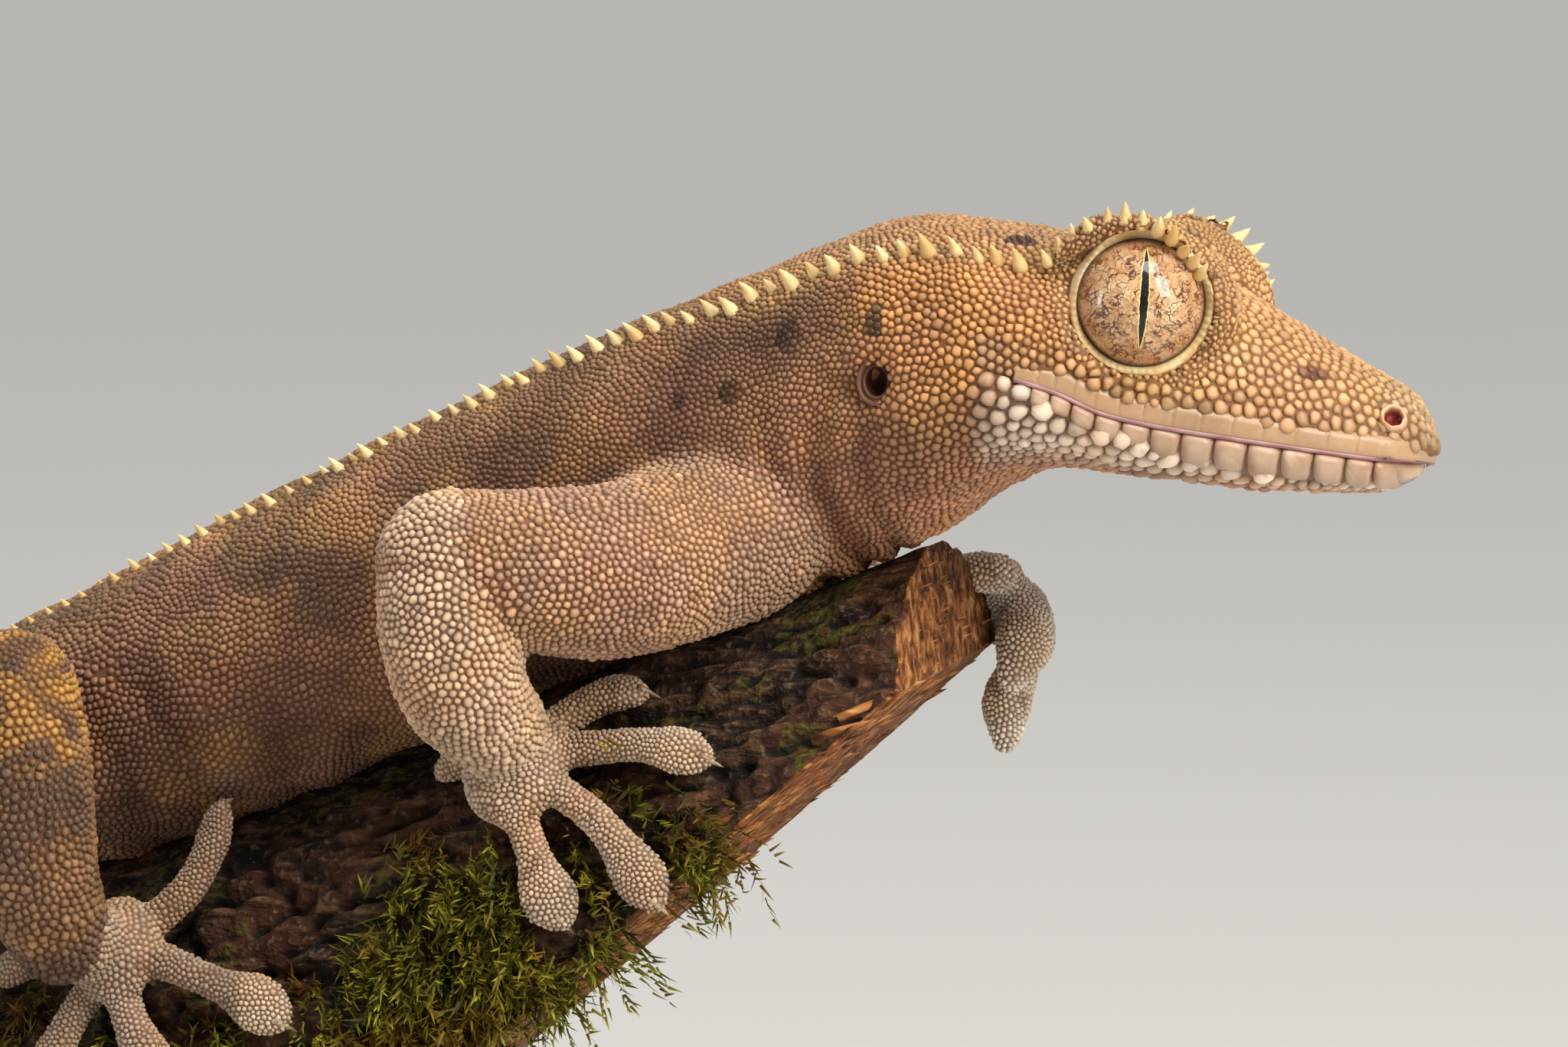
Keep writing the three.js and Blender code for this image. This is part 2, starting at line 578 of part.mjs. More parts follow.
// Tail in three lengths of one swept curve
const tailStart = bodyPoint(VENT + GAP / 2, 0, -0.6).toArray();
const TAIL = [
  tailStart, [-34, 0, 46.2], [-46, 1, 41.5], [-60, 4, 36.5], [-74, 6, 34], [-86, 3, 36], [-93, -3, 40],
];
function tailLength(from, to, rings) {
  const curve = new THREE.CatmullRomCurve3(TAIL.map(vector), false, "centripetal");
  const radius = profile(TAIL_RADII.map((value, i) => [i / (TAIL_RADII.length - 1), value]));
  return reshape(14, rings, (along, turn, out) => {
    const t = mix(from, to, along);
    const tangent = curve.getTangent(t);
    const side = new THREE.Vector3().crossVectors(tangent, new THREE.Vector3(0, 0, 1)).normalize();
    const rise = new THREE.Vector3().crossVectors(tangent, side);
    const over = Math.max(t - TAIL_END.rounding, 0) / (1.0001 - TAIL_END.rounding);
    const reach = radius(t) * out * Math.sqrt(Math.max(1 - over * over, 0));
    const broad = 1 + TAIL_END.broader * THREE.MathUtils.smoothstep(t, ...TAIL_END.pad);
    return curve
      .getPoint(t)
      .addScaledVector(side, Math.cos(radians(turn)) * reach * broad)
      .addScaledVector(rise, Math.sin(radians(turn)) * reach);
  });
}
const [firstSplit, secondSplit] = TAIL_SPLITS;
add("tail_base", tailLength(0, firstSplit - TAIL_GAP / 2, 8), COLOURS.flank);
add("tail_middle", tailLength(firstSplit + TAIL_GAP / 2, secondSplit - TAIL_GAP / 2, 8), COLOURS.flank);
add("tail_tip", tailLength(secondSplit + TAIL_GAP / 2, 1, 12), COLOURS.flank);

// Limbs; a hand or foot has its palm and toes in the branch's own frame
const ARM = ["upper_arm", "forearm", "hand"];
const LEG = ["thigh", "shank", "foot"];
addLimb("right", ARM, {
  upper: [[27, -5, 68], [22.3, -11, 66.7], [15.8, -14.4, 67.2]],
  upperRadii: [4.4, 4.2, 3.6],
  lower: [[15.8, -14.4, 67.2], [16, -15, 63.9], [16.5, -14.3, 61.2], [17.4, -12.6, 59.4]],
  lowerRadii: [3.6, 3.4, 3.1, 2.5],
  foot: {
    palm: [1.4, 46, 1.7],
    palmSize: [2.9, 3.3, 1.6],
    width: 0.98,
    pads: [1.1, 1.3, 1.45, 1.5, 1.1],
    toes: [
      [[2.2, 39, 0.3], [5.8, 33, 0.3], [8.1, 35, 0.3]],
      [[2, 43, 0.3], [7, 50, 0.3], [9.2, 55, 0.3], [11, 61, 0.3]],
      [[1.7, 47, 0.3], [4.7, 63, 0.3], [6, 77, 0.3], [6.5, 88, 0.3]],
      [[0.4, 47, 0.3], [1.3, 62, 0.3], [1.5, 74, 0.3], [1.8, 84, 0.3]],
      [[1, 42, 0.3], [-1.5, 36, 0.3], [-3.6, 33, 0.3]],
    ],
  },
});
addLimb("left", ARM, {
  upper: mirrored([[27, -5, 68], [22.5, -11, 66.2], [19.5, -16.2, 64.2]]),
  upperRadii: [4.4, 4.1, 3.3],
  lower: mirrored([[19.5, -16.2, 64.2], [26, -16.2, 62.6], [31, -15, 62], [34, -13.4, 62.2]]),
  lowerRadii: [3.3, 3, 2.5, 2.1],
  foot: {
    palm: [17.6, -52, 1.9],
    palmSize: [2.9, 2.8, 1.7],
    width: 0.95,
    pads: [1.4, 1.1],
    toes: [
      [[16.5, -55, 0.3], [13.4, -61, 0.3], [10.4, -68, 0.3]],
      [[16.5, -50, 0.3], [12.6, -50, 0.3], [9.8, -52, 0.3]],
    ],
    hooked: [
      [[[36, 10.5, 64.2], [36.9, 9.2, 64.7], [35.8, 8, 65], [34.2, 7.6, 64.9]], [1.2, 1.1, 1.1, 0.8]],
      [[[35.6, 11.5, 63.8], [37.6, 10.4, 63], [38, 8.6, 61.3], [37.6, 7.8, 60]], [1.4, 1.3, 1.55, 0.9]],
      [[[35.6, 12, 63], [37.3, 11, 60.6], [37.1, 8.8, 58.4], [37.2, 8, 56.6]], [1.3, 1, 1.3, 0.7]],
    ],
  },
});
addLimb("right", LEG, {
  upper: [[-17, -4.5, 55], [-11.5, -10.5, 57.2], [-5.9, -15.6, 60.2]],
  upperRadii: [4.6, 4.3, 3.5],
  lower: [[-5.9, -15.6, 60.2], [-4.8, -16.6, 56], [-4.4, -16.2, 52], [-3.8, -14.6, 48.9]],
  lowerRadii: [3.5, 3.4, 3.1, 2.5],
  foot: {
    palm: [-20.6, 52, 1.8],
    palmSize: [2.4, 2.9, 1.5],
    width: 1,
    pads: [1.2, 1.5, 1.4, 1.4, 1.2],
    toes: [
      [[-20, 49, 0.3], [-16.8, 43, 0.6], [-14.9, 37, 1.7], [-13.6, 32, 3.2]],
      [[-20, 52, 0.3], [-16.2, 66, 0.3], [-14.4, 73, 0.3], [-13.1, 82, 0.3]],
      [[-21, 54, 0.3], [-20.6, 70, 0.3], [-20, 86, 0.3]],
      [[-21.5, 54, 0.3], [-24.5, 66, 0.3], [-26.5, 78, 0.3]],
      [[-22, 50, 0.3], [-25.6, 44, 0.3], [-28.4, 42, 0.3]],
    ],
  },
});
addLimb("left", LEG, {
  upper: mirrored([[-17, -4.5, 55], [-14, -11, 55.6], [-11, -16.4, 55.4]]),
  upperRadii: [4.6, 4.2, 3.4],
  lower: mirrored([[-11, -16.4, 55.4], [-12.6, -16.6, 51.4], [-14, -15.8, 47.6], [-14.4, -14.4, 44.6]]),
  lowerRadii: [3.4, 3.2, 2.9, 2.4],
  foot: {
    palm: [-31.4, -52, 1.8],
    palmSize: [2.4, 2.9, 1.5],
    width: 1,
    pads: [1.2, 1.5, 1.4, 1.4, 1.2],
    toes: [
      [[-31, -49, 0.3], [-28, -42, 0.3], [-25.2, -40, 0.3]],
      [[-31, -53, 0.3], [-26.6, -62, 0.3], [-23.6, -72, 0.3]],
      [[-31.4, -54, 0.3], [-30, -70, 0.3], [-29, -86, 0.3]],
      [[-32, -54, 0.3], [-34.6, -66, 0.3], [-36.5, -78, 0.3]],
      [[-32.6, -50, 0.3], [-36, -44, 0.3], [-39, -42, 0.3]],
    ],
  },
});

// Perch and stand: two upright rods hold the branch over a plain base
function rod(x, grow) {
  const height = ROD.top - ROD.bottom + 2 * grow;
  const shape = new THREE.CylinderGeometry(ROD.radius + grow, ROD.radius + grow, height, ROD.sides);
  shape.rotateX(Math.PI / 2);
  shape.translate(x, 0, (ROD.top + ROD.bottom) / 2);
  return solid(shape);
}
const rodHoles = join(ROD.x.map((x) => rod(x, GAP)));

// The base: a plate with rounded corners and bevelled edges.
function makeBase() {
  const half = [BASE.length / 2 - BASE.corner, BASE.width / 2 - BASE.corner];
  const outline = new THREE.Shape();
  outline.absarc(half[0], half[1], BASE.corner - BASE.bevel, 0, Math.PI / 2);
  outline.absarc(-half[0], half[1], BASE.corner - BASE.bevel, Math.PI / 2, Math.PI);
  outline.absarc(-half[0], -half[1], BASE.corner - BASE.bevel, Math.PI, Math.PI * 1.5);
  outline.absarc(half[0], -half[1], BASE.corner - BASE.bevel, Math.PI * 1.5, Math.PI * 2);
  const shape = new THREE.ExtrudeGeometry(outline, {
    depth: BASE.height - 2 * BASE.bevel,
    bevelThickness: BASE.bevel,
    bevelSize: BASE.bevel,
    bevelSegments: 1,
    curveSegments: 3,
  });
  shape.translate(0, 0, BASE.bevel);
  return solid(shape);
}
const log = branchLog(22, 12, 0, BARK_DEPTH);
const trunkRoom = bodyStretch(20, VENT + 3, 20, 14, GAP);
add("perch_branch", log.subtract(trunkRoom).subtract(rodHoles), COLOURS.wood);
add("stand_base", makeBase().subtract(rodHoles), COLOURS.stand, 0.35);
add("stand_rod_front", rod(ROD.x[0], 0), COLOURS.stand, 0.35);
add("stand_rod_rear", rod(ROD.x[1], 0), COLOURS.stand, 0.35);

export default group;
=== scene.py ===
"""A crested gecko on a broken, mossy branch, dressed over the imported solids. Sizes are millimetres until a
mesh is finished."""

import math

import bmesh
import bpy
import numpy as np
from bpy.props import FloatProperty, FloatVectorProperty, PointerProperty
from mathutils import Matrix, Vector
from mathutils.bvhtree import BVHTree


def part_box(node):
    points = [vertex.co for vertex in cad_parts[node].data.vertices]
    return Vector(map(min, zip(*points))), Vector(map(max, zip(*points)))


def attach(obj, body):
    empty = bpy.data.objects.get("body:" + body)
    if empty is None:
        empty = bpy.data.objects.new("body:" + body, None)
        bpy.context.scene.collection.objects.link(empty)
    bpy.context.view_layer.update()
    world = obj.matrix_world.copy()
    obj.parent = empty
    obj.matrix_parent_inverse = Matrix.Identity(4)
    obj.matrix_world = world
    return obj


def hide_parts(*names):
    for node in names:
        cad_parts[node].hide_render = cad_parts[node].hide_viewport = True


bl_info = {
    "name": "Crested gecko on a branch",
    "version": (1, 0, 0),
    "blender": (4, 5, 0),
    "location": "3D View > Sidebar > Gecko",
    "description": "Builds a crested gecko, its scales, its perch and the studio around it",
    "category": "Add Mesh",
}

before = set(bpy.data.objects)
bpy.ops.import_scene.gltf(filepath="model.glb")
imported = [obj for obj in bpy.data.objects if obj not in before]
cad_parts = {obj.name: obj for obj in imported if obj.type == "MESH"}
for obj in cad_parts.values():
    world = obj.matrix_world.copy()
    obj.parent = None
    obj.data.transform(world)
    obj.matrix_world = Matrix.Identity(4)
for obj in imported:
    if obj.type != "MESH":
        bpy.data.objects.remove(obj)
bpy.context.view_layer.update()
BODY = "root"
MM = 0.001

# The animal's driving sizes, the same as the solids'
SNOUT = (59.8, 72.6)
CHIN_BACK = 0.5
HEAD_PITCH = 10.0
HEAD_ROLL = 3.0
TRUNK_SLOPE = 24.5
NAPE = (20.0, 34.0)
VENT = 90.0
NOSE_ROUNDING = 2.2
EYE = {"s": 14.15, "v": 6.0, "h": 4.05, "radius": 3.2, "opening": 3.02, "lid": 2.97}
NOSTRIL = {"s": 1.9, "h": 1.12}
EAR = {"s": 25.5, "h": -1.0}
CREST_START = 19.6
SKIN_INSET = 0.22  # the skin lies this deep under the solids, and the scales fill the rest

BRANCH = {
    "x": 20.0, "z": 48.3, "slope": 23.0, "half_width": 13.0, "half_height": 11.5, "rear": -62.0, "front": 30.0,
}
BREAKS = [  # a point of each broken face, and the way that it faces
    (np.array([x, 0, z]), np.array([math.cos(math.radians(lean)), 0, -math.sin(math.radians(lean))]))
    for x, z, lean in ((36.0, 62.0, -6.0), (33.4, 58.9, 48.4))
]

FLESH = [
    "head", "lower_jaw", "neck", "chest", "belly", "tail_base", "tail_middle", "tail_tip",
    "upper_arm_right", "forearm_right", "hand_right", "upper_arm_left", "forearm_left", "hand_left",
    "thigh_right", "shank_right", "foot_right", "thigh_left", "shank_left", "foot_left",
]


def profile(pairs):
    """A smooth curve through (position, value) pairs, for arrays."""
    xs = np.array([p[0] for p in pairs], float)
    ys = np.array([p[1] for p in pairs], float)
    before = np.maximum(np.arange(len(xs)) - 1, 0)
    after = np.minimum(np.arange(len(xs)) + 1, len(xs) - 1)
    slopes = (ys[after] - ys[before]) / (xs[after] - xs[before])

    def at(x):
        x = np.clip(np.asarray(x, float), xs[0], xs[-1])
        i = np.clip(np.searchsorted(xs, x, side="right") - 1, 0, len(xs) - 2)
        span = xs[i + 1] - xs[i]
        t = (x - xs[i]) / span
        u = 1 - t
        start = ys[i] * (1 + 2 * t) * u * u
        end = ys[i + 1] * (3 - 2 * t) * t * t
        return start + end + span * t * u * (slopes[i] * u - slopes[i + 1] * t)

    return at


def smoothstep(x, low, high):
    t = np.clip((np.asarray(x, float) - low) / (high - low), 0, 1)
    return t * t * (3 - 2 * t)


def smootherstep(x, low, high):
    t = np.clip((np.asarray(x, float) - low) / (high - low), 0, 1)
    return t * t * t * (t * (6 * t - 15) + 10)


body_top = profile([
    (0, 1.4), (1.1, 2.1), (2.3, 2.5), (4.3, 3.2), (6.7, 4.1), (9, 4.85), (11, 5.6), (13.5, 6.2), (17, 6.4),
    (22, 6.6), (25.5, 6.6), (30, 5.6), (34, 5.4), (40, 5.6), (50, 5.5), (60, 5.2), (70, 4.7), (80, 4.3),
    (86, 3.7), (90, 3.1),
])
body_bottom = profile([
    (0, 2.3), (2, 2.75), (4, 3.15), (8, 3.65), (13, 4.1), (16, 4.4), (18.5, 5.0), (20.5, 6.3), (23, 8.2),
    (25.5, 9.1), (30, 9.8), (36, 10.1), (50, 9.6), (60, 9.6), (70, 9.0), (80, 7.4), (86, 5.7), (90, 4.3),
])
body_level = profile([
    (0, -0.9), (13, -0.9), (18, -0.5), (25, -1.2), (32, -2.2), (40, -2.6), (60, -2.8), (75, -2.2), (90, -0.7),
])
body_width = profile([
    (0, 3.7), (2.8, 4.4), (5.5, 5.6), (9, 6.8), (12.5, 7.7), (16, 8.9), (19, 9.6), (22, 9.6), (25, 9.0),
    (29, 7.7), (34, 7.3), (40, 8.2), (47, 9.0), (56, 9.8), (64, 9.8), (72, 8.8), (80, 7.0), (86, 5.2),
    (90, 4.3),
])
fullness_up = profile([(0, 2.1), (12, 2.2), (19, 2.6), (26, 2.6), (32, 2.3), (90, 2.1)])
fullness_down = profile([(0, 2.6), (14, 2.5), (22, 2.1), (34, 2.1), (50, 2.5), (72, 2.4), (90, 2.1)])
mouth_height = profile([
    (0, -1.05), (0.84, -0.95), (2.8, -1.05), (5.5, -1.14), (8.9, -1.25), (12.3, -1.32), (14.6, -1.17),
    (16.6, -0.63), (19.2, -0.26), (20, -0.2),
])
crest_turn = profile([(19, 44), (25, 46), (30, 52), (38, 64), (50, 68), (84, 70)])


def spine_angle(s):
    share = smootherstep(s, NAPE[0] - 4, NAPE[1] + 4)
    return np.radians(-HEAD_PITCH + (TRUNK_SLOPE + HEAD_PITCH) * share)


SPINE_STEP = 0.25
SPINE_S = np.arange(0, VENT + 8, SPINE_STEP)
_turns = spine_angle(SPINE_S[:-1] + SPINE_STEP / 2)
SPINE_X = SNOUT[0] - np.concatenate([[0], np.cumsum(np.cos(_turns))]) * SPINE_STEP
SPINE_Z = SNOUT[1] - np.concatenate([[0], np.cumsum(np.sin(_turns))]) * SPINE_STEP


def head_roll(s):
    return np.radians(HEAD_ROLL) * (1 - smoothstep(s, *NAPE))


def body_point(s, v, h):
    """The point s back from the snout, v to the left and h above the spine."""
    s, v, h = np.broadcast_arrays(np.asarray(s, float), v, h)
    angle, roll = spine_angle(s), head_roll(s)
    across = v * np.cos(roll) + h * np.sin(roll)
    up = h * np.cos(roll) - v * np.sin(roll)
    x = np.interp(s, SPINE_S, SPINE_X) - np.sin(angle) * up
    z = np.interp(s, SPINE_S, SPINE_Z) + np.cos(angle) * up
    return np.stack([x, across, z], -1)


def body_place(points):
    """The reverse of body_point: the s, v and h of each point, by the nearest place on the spine."""
    points = np.asarray(points, float)
    s = np.empty(len(points))
    for start in range(0, len(points), 20000):
        part = points[start:start + 20000]
        away = (part[:, 0:1] - SPINE_X) ** 2 + (part[:, 2:3] - SPINE_Z) ** 2
        s[start:start + 20000] = SPINE_S[away.argmin(1)]

    def gaps(s):
        return points[:, 0] - np.interp(s, SPINE_S, SPINE_X), points[:, 2] - np.interp(s, SPINE_S, SPINE_Z)
    for _ in range(2):
        angle = spine_angle(s)
        gap_x, gap_z = gaps(s)
        s = np.clip(s - gap_x * np.cos(angle) - gap_z * np.sin(angle), -3, VENT + 7)
    angle, roll = spine_angle(s), head_roll(s)
    gap_x, gap_z = gaps(s)
    up = -gap_x * np.sin(angle) + gap_z * np.cos(angle)
    across = points[:, 1]
    return s, across * np.cos(roll) - up * np.sin(roll), across * np.sin(roll) + up * np.cos(roll)


def nose_round(s):
    return np.sqrt(np.clip(1 - (1 - np.clip(s / NOSE_ROUNDING, 0, 1)) ** 2, 0, 1))


def power(value, exponent):
    return np.sign(value) * np.abs(value) ** exponent


def section(s, rising):
    """The body's section at s: its level, its height over or under it and its fullness there."""
    level = body_level(s)
    height = np.where(rising, body_top(s) - level, body_bottom(s) + level)
    return level, height, np.where(rising, fullness_up(s), fullness_down(s))


def nose_reach(s, rising):
    """What share of its section the snout has reached at s."""
    return nose_round(np.where(rising, s, np.maximum(s - CHIN_BACK, 0.02)))


def skin_point(s, turn, grow=0.0):
    """The point of the body's surface at s, turn degrees round from the right side over the back."""
    s, turn = np.broadcast_arrays(np.asarray(s, float), np.asarray(turn, float))
    angle = np.radians(turn)
    rising = np.sin(angle) >= 0
    level, height, fullness = section(s, rising)
    reach = nose_reach(s, rising)
    v = -(body_width(s) * reach + grow) * power(np.cos(angle), 2 / fullness)
    h = level + (height * reach + grow) * power(np.sin(angle), 2 / fullness)
    return body_point(s, v, h)


def head_turn(s, h):
    """The turn on the right side at which the head's surface is at height h."""
    rising = h >= body_level(s)
    level, height, fullness = section(s, rising)
    share = np.clip(np.abs(h - level) / np.maximum(height * nose_reach(s, rising), 1e-6), 0, 1)
    angle = np.degrees(np.arcsin(share ** (fullness / 2)))
    return np.where(rising, angle, -angle)


def head_surface(s, h, side, lift=0.0):
    """A point of the head's surface at s and h; side is -1 on the right and 1 on the left."""
    turn = head_turn(s, h)
    turn = np.where(np.asarray(side) > 0, 180 - turn, turn)
    base = skin_point(s, turn)
    out = skin_point(s, turn, 1.0) - base
    ahead = np.where(s < NOSE_ROUNDING, 1 - s / NOSE_ROUNDING, 0)[..., None]
    out = out + ahead * np.array([math.cos(math.radians(HEAD_PITCH)), 0, -math.sin(math.radians(HEAD_PITCH))])
    out /= np.linalg.norm(out, axis=-1, keepdims=True)
    return base + out * np.asarray(lift)[..., None]


def head_place(side, s, h, lift=0.0):
    """One point of the head's surface."""
    return head_surface(np.array([s]), np.array([h]), side, np.array([lift]))[0]


class Path:
    """A smooth line through points, like the one the solids are swept along."""

    def __init__(self, points):
        self.points = np.array(points, float)
        self.length = float(np.linalg.norm(np.diff(self.at(np.linspace(0, 1, 200)), axis=0), axis=1).sum())

    def at(self, t):
        p = self.points
        count = len(p)
        place = np.clip(np.asarray(t, float), 0, 1) * (count - 1)
        i = np.minimum(place.astype(int), count - 2)
        w = (place - i)[..., None]
        padded = np.vstack([2 * p[0] - p[1], p, 2 * p[-1] - p[-2]])
        p0, p1, p2, p3 = padded[i], padded[i + 1], padded[i + 2], padded[i + 3]
        ends = ((p0, p1), (p1, p2), (p2, p3))
        gaps = [np.sqrt(np.linalg.norm(b - a, axis=-1, keepdims=True)) for a, b in ends]
        g0, g1, g2 = (np.maximum(g, 1e-4) for g in gaps)
        t1 = ((p1 - p0) / g0 - (p2 - p0) / (g0 + g1) + (p2 - p1) / g1) * g1
        t2 = ((p2 - p1) / g1 - (p3 - p1) / (g1 + g2) + (p3 - p2) / g2) * g1
        c2 = -3 * p1 + 3 * p2 - 2 * t1 - t2
        c3 = 2 * p1 - 2 * p2 + t1 + t2
        return p1 + t1 * w + c2 * w * w + c3 * w ** 3

    def way(self, t):
        t = np.asarray(t, float)
        step = self.at(np.clip(t + 1e-3, 0, 1)) - self.at(np.clip(t - 1e-3, 0, 1))
        return step / np.maximum(np.linalg.norm(step, axis=-1, keepdims=True), 1e-9)


def unit(vectors):
    return vectors / np.maximum(np.linalg.norm(vectors, axis=-1, keepdims=True), 1e-9)


def swept(points, radii, sides, rings, grow=0.0):
    """Rings of points round a path, with rounded ends; shape (rings, sides + 1, 3)."""
    path = Path(points)
    radius = profile([(i / (len(radii) - 1), r) for i, r in enumerate(radii)])
    start, end = (radii[0] + grow) / path.length, (radii[-1] + grow) / path.length
    along = (1 - np.cos(np.pi * np.linspace(0.01, 0.99, rings))) / 2
    t = -start + (1 + end + start) * along
    inside = np.clip(t, 0, 1)
    over = np.where(t < 0, -t / start, np.where(t > 1, (t - 1) / end, 0))
    way = path.way(inside)
    side = unit(np.cross(way, [0.0, 1.0, 0.0]))
    rise = np.cross(way, side)
    reach = (radius(inside) + grow) * np.sqrt(np.clip(1 - over ** 2, 0, 1))
    centre = path.at(inside) + way * ((t - inside) * path.length)[:, None]
    turn = np.linspace(0, 2 * np.pi, sides + 1)
    ring = np.cos(turn)[None, :, None] * side[:, None, :] + np.sin(turn)[None, :, None] * rise[:, None, :]
    return centre[:, None, :] + ring * reach[:, None, None]


SLOPE = math.radians(BRANCH["slope"])
BRANCH_AXIS = np.array([math.cos(SLOPE), 0, math.sin(SLOPE)])
BRANCH_UP = np.array([-math.sin(SLOPE), 0, math.cos(SLOPE)])
BRANCH_START = np.array([BRANCH["x"], 0, BRANCH["z"]])
ARC = BRANCH["half_width"] * math.pi / 180  # millimetres of bark for each degree round the branch


def on_branch(along, around, lift):
    """A point of the branch: along it, degrees round from its top to the near side, and off its bark."""
    along, around, lift = np.broadcast_arrays(np.asarray(along, float), around, lift)
    angle = np.radians(around)
    up = np.cos(angle) * (BRANCH["half_height"] + lift)
    near = -np.sin(angle) * (BRANCH["half_width"] + lift)
    return (
        BRANCH_START + along[..., None] * BRANCH_AXIS + up[..., None] * BRANCH_UP
        + near[..., None] * np.array([0, 1.0, 0])
    )


def off_bark(along, around, lift=0):
    """The way straight off the bark."""
    return unit(on_branch(along, around, lift + 1) - on_branch(along, around, lift))


def draped_toe(path, width, pad, sides=20, rings=26, grow=0.0):
    """Rings of a toe laid over the bark, widened at its pad and pointed."""
    line = Path(path)
    wide = profile([(0, width), (0.45, width * 0.9), (0.72, pad), (0.88, pad * 0.85), (1, pad * 0.3)])
    high = profile([(0, width * 0.95), (0.5, width * 0.85), (0.75, width * 0.75), (1, width * 0.35)])
    t = (1 - np.cos(np.pi * np.linspace(0, 1, rings))) / 2
    here, way = line.at(t), line.way(t)
    across = unit(np.stack([way[:, 1] * ARC, -way[:, 0]], -1))
    turn = np.linspace(0, 2 * np.pi, sides + 1)
    reach = (wide(t) + grow)[:, None] * np.cos(turn)
    lift = here[:, 2:3] - grow + (high(t)[:, None] + grow) * (1 + np.sin(turn))
    return on_branch(
        here[:, 0:1] + across[:, 0:1] * reach, here[:, 1:2] + across[:, 1:2] * reach / ARC, lift
    )


def mirrored(points):
    return [(x, -y, z) for x, y, z in points]


